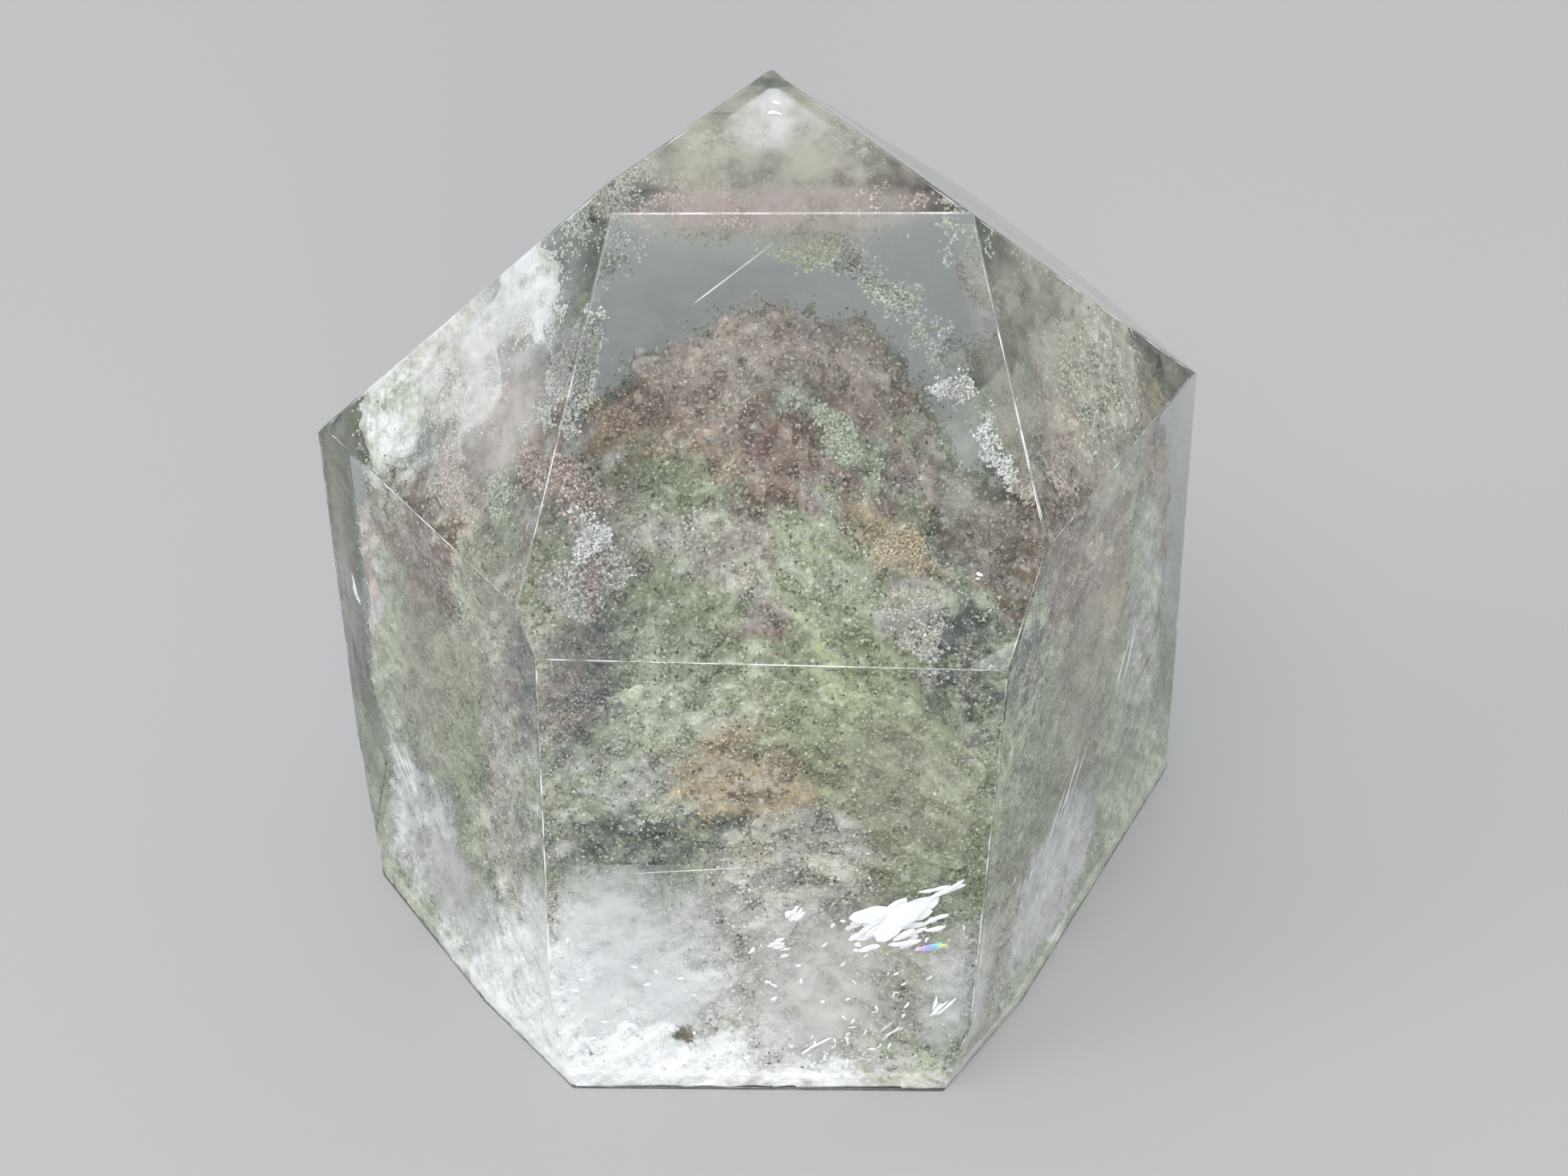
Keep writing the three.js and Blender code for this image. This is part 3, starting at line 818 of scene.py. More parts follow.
def windowDepth(points, spec):
    # how far each point lies into the clear quartz above the garden's sloping roof, in mm
    level = points[:, 2] + ridge["roofFall"] * points[:, 1]
    roof = np.interp(points[:, 0], *zip(*spec["roofLine"]))
    left = np.interp(level, *zip(*spec["roofLeft"]))
    right = np.interp(level, *zip(*spec["roofRight"]))
    across = np.stack([points[:, 0], level, spec["raggedDeep"] * points[:, 1]], axis=1)
    ragged = (grain(across, spec["raggedSize"], seeds["roofEdge"]) - 0.5) * spec["ragged"]
    above = spec["roofSlope"] * (level - roof) + ragged
    return np.minimum(above, np.minimum(points[:, 0] - left, right - points[:, 0]))


def coreFill(points, inset):
    # how far inside the dense garden each point lies, in mm
    return (gardenReaches - inset - points @ gardenNormals.T).min(axis=1)


def sideDepth(points):
    # how far each point lies in from the nearest face, the base left out
    sides = planeNormals[:, 2] > -nearlyLevel
    return (planeReaches[sides] - points @ planeNormals[sides].T).min(axis=1)


def gridPoints(low, high, spacing):
    axes = [np.arange(start, end, spacing) for start, end in zip(low, high)]
    return np.stack(np.meshgrid(*axes, indexing="ij"), axis=-1).reshape(-1, 3)


def heartPoints(spec):
    # a jittered grid of points, kept where the garden is dense
    low, high = np.array(cadBox) / mm
    points = gridPoints(low, high, spec["spacing"])
    rng = np.random.default_rng(seeds["heartJitter"])
    points = points + rng.uniform(-1, 1, points.shape) * spec["jitter"]
    wallDepth = sideDepth(points)
    kept = (wallDepth > spec["wall"]) & (points[:, 2] > spec["floor"])
    points, wallDepth = points[kept], wallDepth[kept]
    fill = coreFill(points, spec["inset"])
    # towards the foot it reaches further out, close to the polished faces
    fill = np.maximum(fill, wallDepth - spec["footCover"] - spec["footSlope"] * points[:, 2])
    for cloud in clouds.values():
        if "depth" in cloud:
            away = np.linalg.norm(points - np.array(cloud["at"]), axis=1)
            near = away < max(cloud["reach"]) + cloud["depth"]
            fill[near] = np.maximum(fill[near], cloudFill(points[near], cloud))
    fill = np.minimum(fill, -windowDepth(points, spec))
    # the middle stays hollow: nobody sees it
    outermost, innermost = spec["culled"]
    skin = (fill > outermost) & (fill < innermost)
    points, fill = points[skin], fill[skin]
    # its lumps are lower towards the polished base
    calm = np.clip(points[:, 2] / spec["calmBelow"], spec["calmest"], 1)
    for number, (size, height) in enumerate((spec["bigLumps"], spec["midLumps"], spec["smallLumps"])):
        fill = fill + (lumps(points, size, seeds["heartLumps"] + number) - 0.5) * height * calm
    return np.concatenate([points[(fill > 0) & (fill < spec["shell"])], rimPoints(spec)])


def rimPoints(spec):
    # a finer row of points all round the foot, so that its lower edge is clean
    low, high = np.array(cadBox) / mm
    low[2], high[2] = spec["rimHeights"]
    points = gridPoints(low, high, spec["rimSpacing"])
    nearest, deepest = spec["rimDepths"]
    depth = sideDepth(points)
    return points[(depth > nearest) & (depth < deepest)]


def cloudFill(points, cloud):
    # how far inside a cloud's own dense lump each point lies, in mm
    axes = faceAxes(cloud["lies"], cloud.get("slant", 0))
    local = (points - np.array(cloud["at"])) @ axes.T
    wide, tall, thick = cloud["reach"]
    inward = np.where(local[:, 2] > 0, cloud["depth"], heart["lumpOutward"] * thick)
    size = np.sqrt((local[:, 0] / wide) ** 2 + (local[:, 1] / tall) ** 2 + (local[:, 2] / inward) ** 2)
    return (1.0 - size) * min(wide, tall, cloud["depth"])


def makeMassTree():
    tree, given, result = newTree(
        "GeometryNodeTree", "massFromPoints",
        [("Points", "Geometry", None), ("Ball Radius", "Float", 0.0004), ("Voxel Size", "Float", 0.0003),
         ("Finish", "Material", None)],
        [("Mass", "Geometry")])
    balls = addNode(tree, "GeometryNodeMeshToPoints", {"Mesh": given["Points"]})
    volume = addNode(tree, "GeometryNodePointsToVolume", {
        "Points": balls.outputs["Points"], "Radius": given["Ball Radius"],
        "Voxel Size": given["Voxel Size"]}, resolution_mode="VOXEL_SIZE")
    skin = addNode(tree, "GeometryNodeVolumeToMesh",
                   {"Volume": volume.outputs["Volume"], "Threshold": heart["threshold"]},
                   resolution_mode="GRID")
    finishTree(tree, skin.outputs["Mesh"], given["Finish"], result)
    return tree


massTree = makeMassTree()


colouring = {
    "warp": (1.6, 1.5),
    "slide": 6.0,
    "slideSizes": (0.8, 0.35),
    "slideWay": (0.79, -0.61),
    "ridgeWidth": 1.2,
    "light": 0.75,
    "lightSizes": (0.5, 0.25),
    "patch": 0.8,
    "patchFrom": 0.4,
    "patchBlend": 0.2,
    "speckSizes": (0.55, 0.28),
    "speckEdge": 0.05,
    "speckThinning": 0.2,
    "deep": 3.5,
    "nearby": 4.0,
    "tear": 2.6,
    "tearSize": 0.7,
    "thinning": 1.7,
    "sharpness": 2.4,
    "paleFrom": 0.5,
    "paleBlend": 0.3,
    "paleCalm": 0.75,
    "shares": (0.6, 0.4),
    "ground": 1e-4,
}


def twoLumps(points, sizes, seed):
    # coarse and fine lumps, mixed
    (big, small), (bigShare, smallShare) = sizes, colouring["shares"]
    return bigShare * lumps(points, big, seed) + smallShare * lumps(points, small, seed + 1)


def streaked(points, spec):
    # places slid along the old crystal's growth lines, which fall away to both sides of its front ridge
    offRidge = points[:, 0] - ridge["x"]
    level = ridge["fall"] * np.abs(offRidge) + points[:, 2] + ridge["roofFall"] * points[:, 1]
    lines = np.stack([level, ridge["across"] * offRidge, ridge["deep"] * points[:, 1]], axis=1)
    slide = (twoLumps(lines, spec["slideSizes"], seeds["slide"]) - 0.5) * spec["slide"]
    side = np.tanh(offRidge / spec["ridgeWidth"])
    outward, upward = spec["slideWay"]
    slid = points + slide[:, None] * np.stack([outward * side, 0 * side, upward * np.abs(side)], axis=1)
    light = 1 + spec["light"] * (twoLumps(lines, spec["lightSizes"], seeds["light"]) - 0.5)
    return slid, light[:, None]


def cloudTint(points, spec):
    # the dense garden's colour at any point: the clouds over it, torn into each other
    size, warp = spec["warp"]
    moved, light = streaked(points, spec)
    warped = np.stack([lumps(points, size, seeds["warp"] + axis) for axis in range(3)], axis=1)
    moved = moved + (warped - 0.5) * warp
    blend = (grain(moved, spec["patch"], seeds["blend"]) - spec["patchFrom"]) / spec["patchBlend"]
    blend = np.clip(blend, 0, 1)[:, None]
    speck = twoLumps(points, spec["speckSizes"], seeds["speck"])
    # a trace of sage counts everywhere
    total = np.full((len(points), 1), spec["ground"])
    mixed = total * np.array(tints["sage"])
    dark = np.zeros((len(points), 1))
    darkTint = np.zeros((len(points), 3))
    for number, cloud in enumerate(clouds.values()):
        axes = faceAxes(cloud["lies"], cloud.get("slant", 0))
        reach = np.array([*cloud["reach"][:2], spec["deep"]])
        place = points if "pepper" in cloud else moved
        away = ((((place - np.array(cloud["at"])) @ axes.T) / reach) ** 2).sum(axis=1)
        near = away < spec["nearby"]
        first, second = (np.array(tints[name]) for name in cloud["tint"])
        own = first * (1 - blend[near]) + second * blend[near]
        if "pepper" in cloud:
            over = speck[near] - 1 + cloud["pepper"] - spec["speckThinning"] * away[near]
            share = np.clip(over / spec["speckEdge"], 0, 1)[:, None]
            darkTint[near] = np.where(share > dark[near], own, darkTint[near])
            dark[near] = np.maximum(share, dark[near])
        else:
            torn = lumps(points[near], spec["tearSize"], seeds["tear"] + number)
            torn = spec["tear"] * (torn - 0.5)
            weight = np.exp(spec["sharpness"] * (torn - spec["thinning"] * away[near]))[:, None]
            mixed[near] += weight * own
            total[near] += weight
    mixed = mixed / total
    paleness = np.clip((mixed.mean(axis=1, keepdims=True) - spec["paleFrom"]) / spec["paleBlend"], 0, 1)
    lightness = 1 + (light - 1) * (1 - spec["paleCalm"] * paleness)
    return mixed * lightness * (1 - dark) + darkTint * dark


def makeHeart(name, points, voxel):
    # one half of the dense mass as a mesh; also gives its skin for the crust to stand on
    holder = growOnPoints(name, points, np.ones((len(points), 3)), massTree, {
        "Ball Radius": heart["ball"] * mm, "Voxel Size": voxel * mm, "Finish": finishes["heart"]})
    mesh = holder.data
    places = np.zeros(len(mesh.vertices) * 3)
    outward = np.zeros(len(mesh.vertices) * 3)
    mesh.vertices.foreach_get("co", places)
    mesh.vertices.foreach_get("normal", outward)
    places = underSkin(places.reshape(-1, 3) / mm, heart["skin"])
    mesh.vertices.foreach_set("co", (places * mm).astype(np.float32).ravel())
    setTint(mesh, cloudTint(places, colouring))
    addPiece(holder)
    say(f"{name}: {len(mesh.vertices)} points, {len(mesh.polygons)} faces")
    return holder, (places, outward.reshape(-1, 3))


densePoints = heartPoints(heart)
frontPart = densePoints[:, 1] < heart["split"]
frontHeart, frontSkin = makeHeart("gardenHeartFront", densePoints[frontPart], heart["frontVoxel"])
backSkin = makeHeart("gardenHeartBack", densePoints[~frontPart], heart["backVoxel"])[1]


crust = {
    "front": {"pieces": 4, "flecks": 40000, "seed": 29},
    "back": {"pieces": 1, "flecks": 36000, "seed": 37},
    "scatter": 0.14,
    "clumpSize": 0.9,
    "clumpFrom": 0.42,
    "clumpHeight": 1.4,
    "lift": 0.16,
    "liftShape": 1.1,
    "edgeLift": 1.5,
    "edgeWidth": 1.5,
    "clearance": 0.35,
    "tufts": 6.0,
    "tuftSize": 0.8,
    "tuftFrom": 0.45,
    "shortest": 0.3,
    "tintBlur": 0.15,
    "lightness": 0.16,
    "frostFrom": 0.66,
    "frostBlend": 0.2,
    "frostBare": 0.75,
    "frostCalm": 0.6,
    "brightShare": 0.035,
    "darkShare": 0.05,
}


def makeCrust(name, skin, count, seed, spec):
    # flecks that stand on the dense garden, in clumps
    places, outward = skin
    rng = np.random.default_rng(seed)
    pick = rng.integers(0, len(places), count)
    base = places[pick] + rng.normal(0, spec["scatter"], (count, 3))
    clump = np.clip(grain(base, spec["clumpSize"], seeds["clump"]) - spec["clumpFrom"], 0, 1)
    clump = clump * spec["clumpHeight"]
    edge = np.clip(1 + windowDepth(base, heart) / spec["edgeWidth"], 0, 1)
    lift = clump * rng.random(count) + rng.gamma(spec["liftShape"], spec["lift"], count)
    standing = base + outward[pick] * (lift * (1 + spec["edgeLift"] * edge))[:, None]
    # ragged tufts along the roof's edge, and nothing else in the clear windows above it
    tufts = np.clip(grain(standing, spec["tuftSize"], seeds["tuft"]) - spec["tuftFrom"], 0, 1)
    inTuft = windowDepth(standing, heart) < spec["shortest"] + spec["tufts"] * tufts
    standing = standing[(depthInside(standing) > spec["clearance"]) & inTuft]
    colours = cloudTint(standing + rng.normal(0, spec["tintBlur"], standing.shape), colouring)
    # fewer flecks on the white frost, which is smooth
    frosty = np.clip((colours.mean(axis=1) - spec["frostFrom"]) / spec["frostBlend"], 0, 1)
    grown = rng.random(len(standing)) > spec["frostBare"] * frosty
    standing, colours, frosty = standing[grown], colours[grown], frosty[grown]
    count = len(standing)
    colours = colours * np.exp(rng.normal(0, spec["lightness"], (count, 1)))
    # a few are bright and a few are nearly black
    kind = rng.random(count) * (1 - spec["frostCalm"] * frosty)
    colours[kind < spec["brightShare"]] = tints["beige"]
    colours[kind > 1 - spec["darkShare"]] = tints["moss"]
    colours = np.clip(colours, darkest, 1)
    addPiece(makeFlecks(name, standing, colours, fleckSettings["crust"], finishes["chlorite"]))


for side, skin in (("front", frontSkin), ("back", backSkin)):
    part = crust[side]
    for number in range(part["pieces"]):
        makeCrust(f"{side}Crust{number + 1}", skin, part["flecks"], part["seed"] + number, crust)


# thin veils of haze: very flat lenses that let part of the light through

veils = {
    "sheets": {
        "table": laid("table", (0.9, 2.0, 39.8), (8.0, 5.0), "beige", cover=0.46),
        "tableBand": laid("table", (0.9, -1.9, 40.3), (8.0, 1.2), "mauve", cover=0.5),
        "leftCrown": laid("leftCrown", (-11.0, -1.0, 33.0), (6.5, 8.5), "milk", cover=0.24),
        "leftRose": laid("leftCrown", (-9.8, -3.0, 30.8), (3.2, 3.6), "rose", cover=0.44),
        "rightCrown": laid("rightCrown", (12.5, -1.0, 32.0), (6.5, 8.5), "beige", cover=0.42),
        "window": laid("frontCrown", (0.9, -4.6, 35.2), (9.5, 3.6), "smoke", cover=0.05),
        "rightWindow": laid("frontCrown", (9.2, -6.0, 31.6), (2.4, 5.0), "paleSage", cover=0.22),
        "tip": laid("table", (0.9, 2.4, 42.2), (2.6, 2.4), "milk", cover=0.4),
        "footLeft": laid("front", (-6.6, -12.9, 7.6), (4.7, 8.5), "frost", cover=0.46, top=13.4, deep=1.0),
        "footMiddle": laid("front", (2.0, -12.9, 5.2), (3.8, 7.2), "haze", cover=0.46, deep=1.0),
        "footRight": laid("front", (8.4, -12.9, 4.6), (2.5, 6.5), "milk", cover=0.32, deep=1.0),
        "frontMist": laid("front", (6.2, -12.9, 18.6), (4.4, 5.8), "beige", cover=0.1, deep=1.0),
        "leftFoot": laid("left", (-14.4, -4.6, 5.0), (5.0, 5.0), "smoke", cover=0.3),
        "rightFoot": laid("right", (13.4, -6.0, 5.4), (5.5, 6.0), "milk", cover=0.42),
        "rightHaze": laid("right", (14.5, -4.0, 18.0), (4.5, 9.0), "beige", cover=0.14),
        "leftHaze": laid("left", (-15.0, -3.0, 18.0), (4.5, 9.0), "beige", cover=0.12),
        "backFoot": laid("back", (0.0, 14.0, 5.0), (10.0, 7.0), "milk", cover=0.34),
        "backHaze": laid("back", (-2.0, 14.0, 20.0), (8.0, 9.0), "smoke", cover=0.22),
        "backLeftHaze": laid("backLeft", (-16.0, 9.0, 15.0), (5.0, 13.0), "beige", cover=0.25),
        "backRightHaze": laid("backRight", (15.5, 8.0, 12.0), (5.5, 12.0), "smoke", cover=0.26),
        "backLeftCrown": laid("backLeftCrown", (-10.0, 9.0, 32.0), (5.0, 5.5), "milk", cover=0.25),
        "backRightCrown": laid("backRightCrown", (11.0, 9.0, 32.0), (4.0, 5.5), "smoke", cover=0.22),
        "backCrown": laid("backCrown", (1.5, 9.5, 35.5), (6.0, 5.0), "smoke", cover=0.12),
    },
    "rings": 9,
    "sectors": 36,
    "nearest": 0.3,
    "apart": 0.07,
    "depths": 9,
    "thickness": 0.05,
    "lens": 0.04,
    "fade": 1.4,
    "patch": 1.6,
    "patchBand": (0.32, 0.70),
    "thinnest": 0.4,
}


def veilSheet(spec, depth):
    # the two skins of one flat lens, and how much each point covers
    across, down, inward = faceAxes(spec["lies"], spec.get("slant", 0))
    rings, sectors = veils["rings"], veils["sectors"]
    angles = np.arange(sectors) * math.tau / sectors
    radii = np.concatenate([np.full(sectors, ring / rings) for ring in range(1, rings + 1)])
    turns = np.tile(angles, rings)
    wide, tall = spec["reach"]
    flat = np.outer(radii * np.cos(turns) * wide, across) + np.outer(radii * np.sin(turns) * tall, down)
    flat = np.concatenate([np.zeros((1, 3)), flat]) + np.array(spec["at"])
    if "top" in spec:
        flat[:, 2] = np.minimum(flat[:, 2], spec["top"])
    fade = np.concatenate([[1.0], (1 - radii ** 2) ** veils["fade"]])
    bulge = inward * veils["lens"] * fade[:, None]
    outer = underSkin(flat - bulge, depth)
    inner = underSkin(flat + bulge, depth + veils["thickness"])
    points = np.concatenate([outer, inner])
    count = len(flat)
    faces = []
    for sector in range(sectors):
        after = (sector + 1) % sectors
        faces.append([0, 1 + after, 1 + sector])
        faces.append([count, count + 1 + sector, count + 1 + after])
        for ring in range(rings - 1):
            first, second = 1 + ring * sectors, 1 + (ring + 1) * sectors
            faces.append([first + sector, first + after, second + after, second + sector])
            faces.append([count + first + after, count + first + sector, count + second + sector,
                          count + second + after])
        rim = 1 + (rings - 1) * sectors
        faces.append([rim + sector, rim + after, count + rim + after, count + rim + sector])
    colours = np.tile(np.array([*tints[spec["tint"][0]], 1.0]), (2 * count, 1))
    colours[:, 3] = spec["cover"] * np.tile(fade, 2)
    return points, faces, colours


def veilMaterial(spec):
    material, tree, shader = newMaterial("veilHaze", {"Roughness": 0.8, "Specular IOR Level": 0.0})
    tint = addNode(tree, "ShaderNodeAttribute", attribute_name="tint").outputs
    place = tree.nodes.new("ShaderNodeTexCoord").outputs["Object"]
    patches = smoothMask(tree, noisePattern(tree, place, 1000 / spec["patch"], 2.0), *spec["patchBand"])
    cover = calculate(tree, "MULTIPLY", tint["Alpha"], calculate(tree, "ADD", patches, spec["thinnest"]))
    setInputs(tree, shader, {"Base Color": tint["Color"], "Alpha": cover})
    return material


def makeVeils(spec):
    points, faces, colours = np.zeros((0, 3)), [], np.zeros((0, 4))
    for number, sheet in enumerate(spec["sheets"].values()):
        # no two that cross are at one depth
        depth = sheet.get("deep", spec["nearest"]) + spec["apart"] * (number % spec["depths"])
        found, loops, own = veilSheet(sheet, depth)
        faces += [[corner + len(points) for corner in loop] for loop in loops]
        points = np.concatenate([points, found])
        colours = np.concatenate([colours, own])
    mesh = bpy.data.meshes.new("hazeVeils")
    mesh.from_pydata((points * mm).tolist(), [], faces)
    setTint(mesh, colours)
    mesh.materials.append(veilMaterial(spec))
    return addObject("hazeVeils", mesh)


addPiece(makeVeils(veils))
say("veils ready")


# healed fractures that catch the light, and white blades that are painted highlights

glints = {
    "blades": {
        "thread": laid("frontCrown", (0.1, 0.2, 36.8), (3.6, 0.06), slant=-41, blades=1, spread=0.0),
        "featherBody": laid("front", (5.8, -13.1, 10.8), (2.2, 1.0), slant=-32, blades=5, spread=0.3),
        "featherPoint": laid("front", (7.5, -13.1, 12.3), (1.1, 0.2), slant=-40, blades=4, spread=0.35),
        "featherEdge": laid(
            "front", (5.9, -13.05, 10.1), (0.9, 0.22), slant=-30, blades=16, drift=0.9, spread=0.9),
        "featherTail": laid(
            "front", (4.0, -13.0, 9.6), (0.5, 0.26), slant=-30, blades=8, drift=0.4, spread=0.8),
        "frostLine": laid("front", (-5.8, -13.0, 13.6), (3.4, 0.05), slant=0, blades=1, spread=0.0),
        "starHigh": laid("front", (1.0, -13.0, 10.9), (0.4, 0.2), slant=-60, blades=7, spread=0.4),
        "starLow": laid("front", (0.2, -13.0, 9.0), (0.36, 0.16), slant=-20, blades=7, spread=0.5),
        "chipsMiddle": laid(
            "front", (2.2, -13.0, 8.4), (0.2, 0.14), slant=-30, blades=18, drift=1.8, spread=2.4, fan=60),
        "chipsFoot": laid(
            "front", (3.0, -13.3, 2.8), (0.22, 0.09), slant=-62, blades=46, drift=3.4, spread=2.6, fan=32),
        "chipsLeft": laid(
            "front", (-6.6, -12.8, 5.0), (0.2, 0.12), slant=-20, blades=20, drift=2.0, spread=4.6, fan=60),
        "chipsRight": laid(
            "right", (13.0, -6.4, 7.0), (0.4, 0.08), slant=-58, blades=24, drift=2.2, spread=6.0),
        # painted highlight: white blades for a warm glint on the front crown
        "warmGlint": laid("frontCrown", (9.0, -10.9, 27.9), (0.16, 0.1), slant=0, blades=2, spread=0.15),
        "crescentLeft": laid("front", (1.7, -13.0, 2.4), (0.7, 0.12), slant=-50, blades=3, spread=0.5),
        "crescentMiddle": laid("front", (5.1, -13.0, 3.4), (0.7, 0.1), slant=-55, blades=3, spread=0.6),
        "crescentRight": laid("front", (7.6, -13.0, 5.0), (0.8, 0.12), slant=-60, blades=4, spread=0.6),
        "streakRight": laid("right", (13.0, -5.6, 9.5), (2.2, 0.1), slant=-58, blades=7, spread=1.4),
        "streakRightHigh": laid("right", (16.4, 0.8, 13.5), (1.6, 0.09), slant=-62, blades=5, spread=1.2),
        # painted highlight: white blades for a glint on the left side
        "glintLeft": laid("left", (-18.6, 2.6, 17.0), (0.8, 0.16), slant=62, blades=3, spread=0.3),
        "streakLeft": laid("left", (-16.4, -0.2, 9.0), (1.4, 0.1), slant=58, blades=5, spread=1.0),
        # painted highlight: white blades for the glint at the tip
        "glintTip": laid("table", (0.9, 2.0, 42.6), (0.3, 0.12), slant=0, blades=3, spread=0.25),
    },
    "sections": 14,
    "rows": (-1, -0.5, 0, 0.5, 1),
    "knots": 7,
    "ragged": 0.45,
    "narrowest": 0.0004,
    "bend": 0.1,
    "bendWidth": 4,
    "fan": 13,
    "drift": 0.35,
    "smallest": 0.55,
    "slimmest": 0.5,
    "deep": (-0.15, 0.2),
    "clearance": (0.5, 0.2),
    "thickness": 0.035,
}

film = {
    "blades": laid("front", (7.3, -13.2, 8.9), (0.85, 0.22), slant=-10, blades=3, spread=0.15),
    "run": (7.0, 8.8),
    "wobble": 1.2,
    "wobbleSize": 0.6,
    "colours": [(0.80, 0.86, 0.90), (0.80, 0.45, 0.80), (0.35, 0.50, 0.95),
                (0.35, 0.85, 0.70), (0.90, 0.85, 0.35), (0.90, 0.50, 0.55)],
}


def bladeCorners(centre, along, across, outward, halfLength, halfWidth, seed):
    # one thin lens with torn edges: the points of its two skins, and its faces
    rng = np.random.default_rng(seed)
    sections, knots = glints["sections"], glints["knots"]
    torn = np.interp(np.linspace(0, 1, sections + 1), np.linspace(0, 1, knots), rng.random(knots))
    ragged = 1 + glints["ragged"] * (torn - 1)
    bend = rng.normal(0, glints["bend"]) * min(1.0, glints["bendWidth"] * halfWidth / halfLength)
    rows = len(glints["rows"])
    points, faces = [], []
    for level in (1, -1):
        for step in range(sections + 1):
            share = 2 * step / sections - 1
            width = halfWidth * ragged[step] * math.sqrt(max(1 - share * share, glints["narrowest"]))
            for side in glints["rows"]:
                thick = glints["thickness"] * level * (1 - side * side) * (1 - share * share)
                points.append(centre + along * share * halfLength + outward * thick
                              + across * (side * width + bend * halfLength * share * share))
    skin = rows * (sections + 1)
    for step in range(sections):
        for side in range(rows - 1):
            first = step * rows + side
            loop = [first, first + 1, first + rows + 1, first + rows]
            faces.append(loop)
            faces.append([corner + skin for corner in reversed(loop)])
    return points, faces


# in metres: points nearer than the first are joined, edges shorter than the second are taken away
welding = {"near": 2e-6, "short": 1e-7}


def solidPiece(name, points, faces, finish):
    # joins the points that meet, and turns every face outward
    shape = bmesh.new()
    corners = [shape.verts.new(Vector(point) * mm) for point in points]
    for face in faces:
        shape.faces.new([corners[corner] for corner in face])
    bmesh.ops.remove_doubles(shape, verts=shape.verts, dist=welding["near"])
    bmesh.ops.dissolve_degenerate(shape, edges=shape.edges, dist=welding["short"])
    bmesh.ops.triangulate(shape, faces=shape.faces)
    bmesh.ops.recalc_face_normals(shape, faces=shape.faces)
    mesh = bpy.data.meshes.new(name)
    shape.to_mesh(mesh)
    shape.free()
    mesh.materials.append(finish)
    return addObject(name, mesh)


def bladeSet(spec, seed):
    # a fan of blades about one place
    across, down, inward = faceAxes(spec["lies"], spec["slant"])
    halfLength, halfWidth = spec["reach"]
    middleClearance, edgeClearance = glints["clearance"]
    rng = np.random.default_rng(seed)
    points, faces = [], []
    for number in range(spec["blades"]):
        fan = math.radians(rng.normal(0, spec.get("fan", glints["fan"])))
        along = across * math.cos(fan) + down * math.sin(fan)
        sideways = down * math.cos(fan) - across * math.sin(fan)
        drift = spec.get("drift", glints["drift"] * halfLength)
        offset = across * rng.normal(0, drift) + down * rng.normal(0, spec["spread"] / 2)
        centre = np.array(spec["at"]) + offset + inward * rng.uniform(*glints["deep"])
        centre = underSkin(centre[None], middleClearance)[0]
        length = halfLength * rng.uniform(glints["smallest"], 1.0)
        width = halfWidth * rng.uniform(glints["slimmest"], 1.0)
        own = seed * seeds["bladeStep"] + number
        found, loops = bladeCorners(centre, along, sideways, -inward, length, width, own)
        faces += [[corner + len(points) for corner in loop] for loop in loops]
        points += found
    return list(underSkin(np.array(points), edgeClearance)), faces


def filmMaterial(spec):
    # thin-film colours that run across the sliver
    material, tree, shader = newMaterial("rainbowFilm", {"Roughness": 0.3})
    place = tree.nodes.new("ShaderNodeTexCoord").outputs["Object"]
    split = addNode(tree, "ShaderNodeSeparateXYZ", {0: place}).outputs
    wobble = calculate(tree, "MULTIPLY", noisePattern(tree, place, 1000 / spec["wobbleSize"], 1.0),
                       spec["wobble"] * mm)
    run = calculate(tree, "ADD", split["X"], wobble)
    start, end = spec["run"]
    share = addNode(tree, "ShaderNodeMapRange",
                    {"From Min": start * mm, "From Max": end * mm, "Value": run})
    ramp = addNode(tree, "ShaderNodeValToRGB", {"Fac": share.outputs["Result"]})
    stops = ramp.color_ramp.elements
    while len(stops) < len(spec["colours"]):
        stops.new(0.5)
    for number, (stop, colour) in enumerate(zip(stops, spec["colours"])):
        stop.position = number / (len(stops) - 1)
        stop.color = (*colour, 1)
    setInputs(tree, shader, {"Base Color": ramp.outputs["Color"]})
    return material


# white, for the fractures and for the painted highlights: the glint blades and the edge lines
fractureAndHighlightFinish = newMaterial("fractureGlint", {"Base Color": (0.97, 0.98, 1.0, 1), "Roughness": 0.28})[0]
bladePoints, bladeFaces = [], []
for number, bladeSpec in enumerate(glints["blades"].values()):
    found, loops = bladeSet(bladeSpec, seeds["blades"] + number)
    bladeFaces += [[corner + len(bladePoints) for corner in loop] for loop in loops]
    bladePoints += found
addPiece(solidPiece("fractureAndGlintBlades", bladePoints, bladeFaces, fractureAndHighlightFinish))
sliver = bladeSet(film["blades"], seeds["sliver"])
addPiece(solidPiece("rainbowSliver", *sliver, filmMaterial(film)))
say("fractures ready")


# the clear quartz itself

quartz = {
    "leastCrossing": 1e-4,
    "slack": 1e-3,
    "cornersApart": 0.01,
    "flatWithin": 0.2,
    "edgeWear": 0.16,
    "wearSteps": 3,
    "wornFrom": 4.0,
    "ior": 1.544,
    "absorbColour": (0.78, 0.81, 0.80, 1.0),
    "absorbDensity": 84.0,
    "roughness": 0.0,
}

# painted highlights along the long polished edges: thin white tubes just under each edge
edgeHighlights = {
    "shortest": 2.0,
    "depth": 0.07,
    "radius": 0.021,
    "tipRadius": 0.004,
    "step": 0.3,
    "end": 0.5,
    "gapSize": 1.1,
    "gapsBelow": 0.48,
    "gapSharpness": 6.0,
    "faintest": 0.15,
}


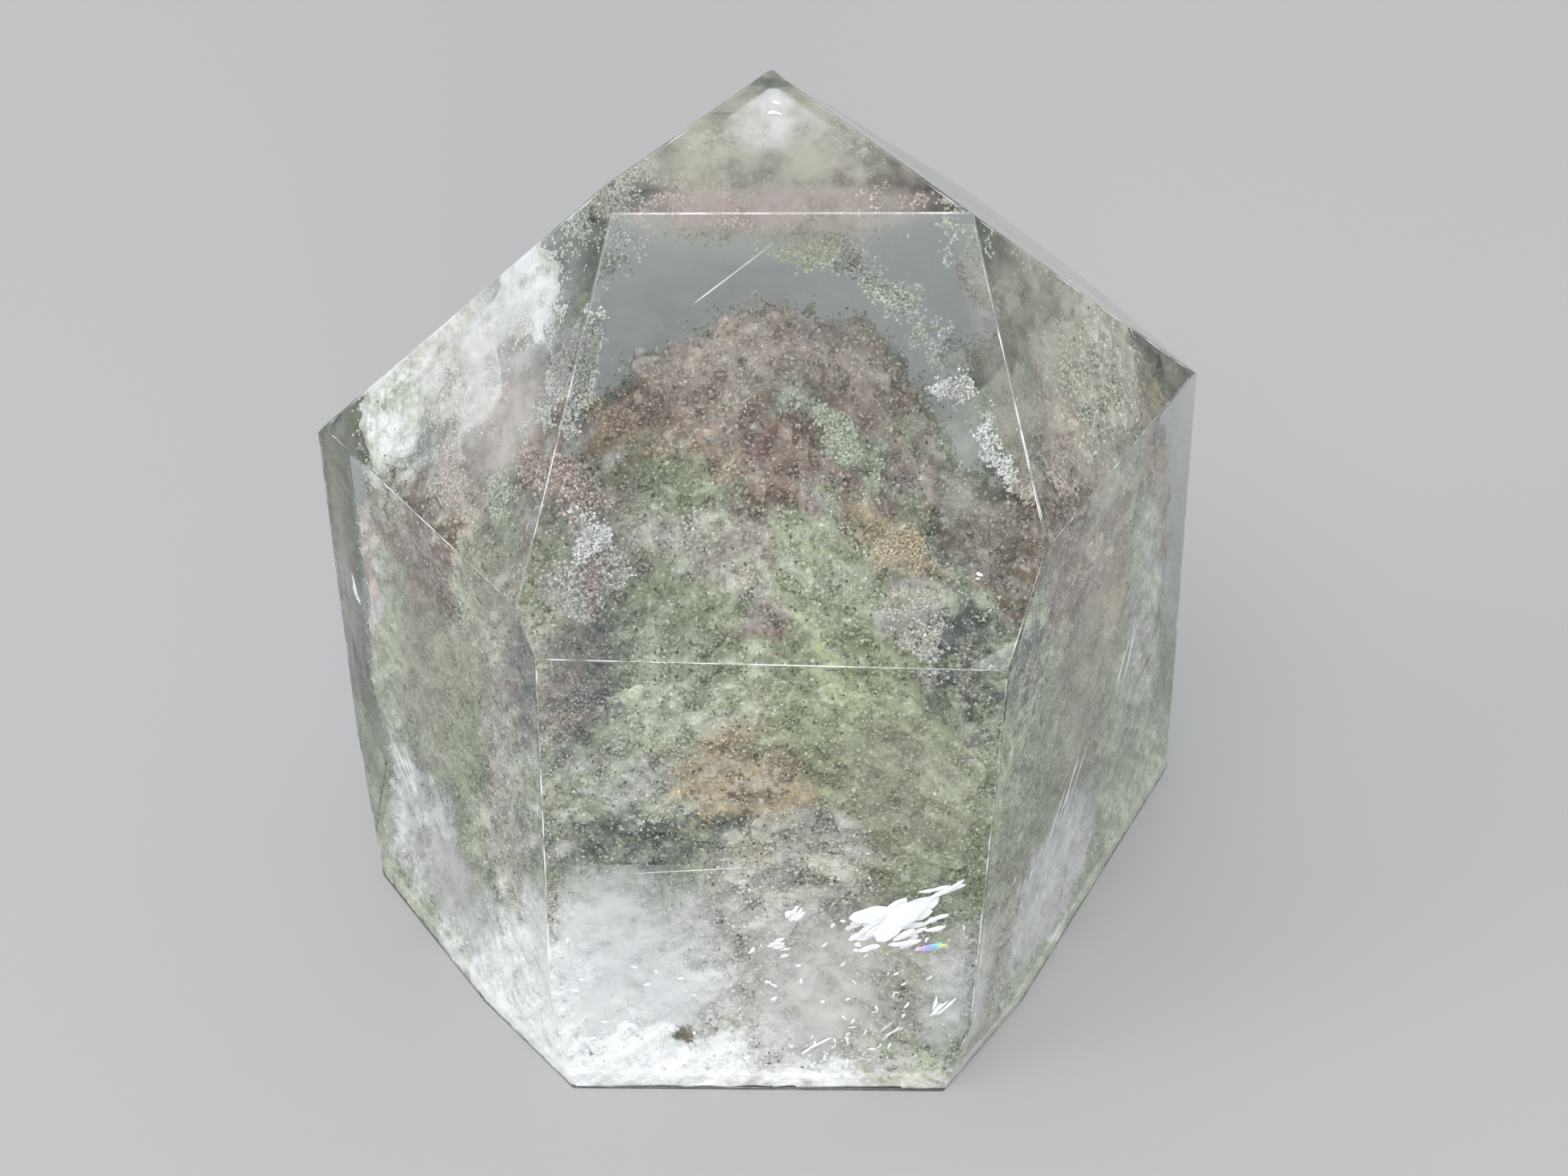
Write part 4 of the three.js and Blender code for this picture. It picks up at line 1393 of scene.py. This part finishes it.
def convexSolid(normals, reaches):
    # the solid inside all these planes, from the corners where three of them meet
    shape = bmesh.new()
    count = len(normals)
    for i in range(count):
        for j in range(i + 1, count):
            for k in range(j + 1, count):
                three = [i, j, k]
                if abs(np.linalg.det(normals[three])) > quartz["leastCrossing"]:
                    point = np.linalg.solve(normals[three], reaches[three])
                    if np.all(normals @ point <= reaches + quartz["slack"]):
                        shape.verts.new(Vector(point) * mm)
    bmesh.ops.remove_doubles(shape, verts=shape.verts, dist=quartz["cornersApart"] * mm)
    bmesh.ops.convex_hull(shape, input=shape.verts)
    flat = math.radians(quartz["flatWithin"])
    bmesh.ops.dissolve_limit(shape, angle_limit=flat, verts=shape.verts, edges=shape.edges)
    bmesh.ops.recalc_face_normals(shape, faces=shape.faces)
    mesh = bpy.data.meshes.new("quartzPoint")
    shape.to_mesh(mesh)
    shape.free()
    return mesh


def quartzMaterial(spec):
    material, tree, shader = newMaterial("clearQuartz", {
        "Base Color": (1, 1, 1, 1), "Roughness": spec["roughness"], "IOR": spec["ior"],
        "Transmission Weight": 1.0})
    # light from the lamps and light between the flecks passes straight through the surface
    rays = tree.nodes.new("ShaderNodeLightPath").outputs
    soft = calculate(tree, "MAXIMUM", rays["Is Shadow Ray"], rays["Is Diffuse Ray"])
    clear = addNode(tree, "ShaderNodeBsdfTransparent", {"Color": (1, 1, 1, 1)})
    mix = addNode(tree, "ShaderNodeMixShader", {0: soft, 1: shader.outputs[0], 2: clear.outputs[0]})
    absorb = addNode(tree, "ShaderNodeVolumeAbsorption",
                     {"Color": spec["absorbColour"], "Density": spec["absorbDensity"]})
    setInputs(tree, tree.nodes["Material Output"], {"Surface": mix.outputs[0], "Volume": absorb.outputs[0]})
    return material


def makeQuartz(spec):
    # the whole clear point, with no pocket in it
    holder = addObject("quartzPoint", convexSolid(planeNormals, planeReaches))
    wear = holder.modifiers.new("wornEdges", "BEVEL")
    wear.width = spec["edgeWear"] * mm
    wear.segments = spec["wearSteps"]
    wear.limit_method = "ANGLE"
    wear.angle_limit = math.radians(spec["wornFrom"])
    wear.use_clamp_overlap = True
    bake(holder)
    holder.data.materials.clear()
    holder.data.materials.append(quartzMaterial(spec))
    return holder


def makeEdgeHighlights(spec):
    # a painted highlight: a fine pale line just under each polished edge, broken here and there
    shape = bmesh.new()
    shape.from_mesh(convexSolid(planeNormals, planeReaches))
    points, faces = [], []
    for edge in (edge for edge in shape.edges if edge.calc_length() > spec["shortest"] * mm):
        start, end = (np.array(vertex.co) / mm for vertex in edge.verts)
        first, second = (np.array(face.normal) for face in edge.link_faces)
        middle = (first + second) / np.linalg.norm(first + second)
        opening = math.sqrt(max(0.0, 1 - float(first @ middle) ** 2))
        depth = quartz["edgeWear"] * opening + spec["depth"]
        along = (end - start) / np.linalg.norm(end - start)
        side = np.cross(along, middle)
        length = np.linalg.norm(end - start) - 2 * spec["end"]
        steps = int(length / spec["step"])
        reached = spec["end"] + np.linspace(0, length, steps + 1)[:, None]
        middles = start + along * reached - middle * depth
        # the painted highlight is broken into dashes, and is thinnest where it fades
        highlightRadii = grain(middles, spec["gapSize"], seeds["edgeGaps"]) - spec["gapsBelow"]
        highlightRadii = highlightRadii * spec["gapSharpness"]
        highlightRadii = np.clip(highlightRadii, spec["faintest"], 1) * spec["radius"]
        highlightRadii[[0, -1]] = spec["tipRadius"]
        lowest = len(points)
        for place, radius in zip(middles, highlightRadii):
            for turn in range(3):
                angle = math.tau * turn / 3
                points.append(place + radius * (side * math.cos(angle) + middle * math.sin(angle)))
        for step in range(steps):
            for turn in range(3):
                here, there = lowest + 3 * step + turn, lowest + 3 * step + (turn + 1) % 3
                faces.append([here, there, there + 3, here + 3])
        faces.append([lowest + 2, lowest + 1, lowest])
        faces.append([lowest + 3 * steps, lowest + 3 * steps + 1, lowest + 3 * steps + 2])
    shape.free()
    return solidPiece("edgeHighlights", points, faces, fractureAndHighlightFinish)


addPiece(makeEdgeHighlights(edgeHighlights))
quartzPiece = makeQuartz(quartz)
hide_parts("quartz_crystal")
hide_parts("chlorite_garden")
addPiece(quartzPiece)
say("clear quartz ready")

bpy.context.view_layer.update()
say("sizes written")
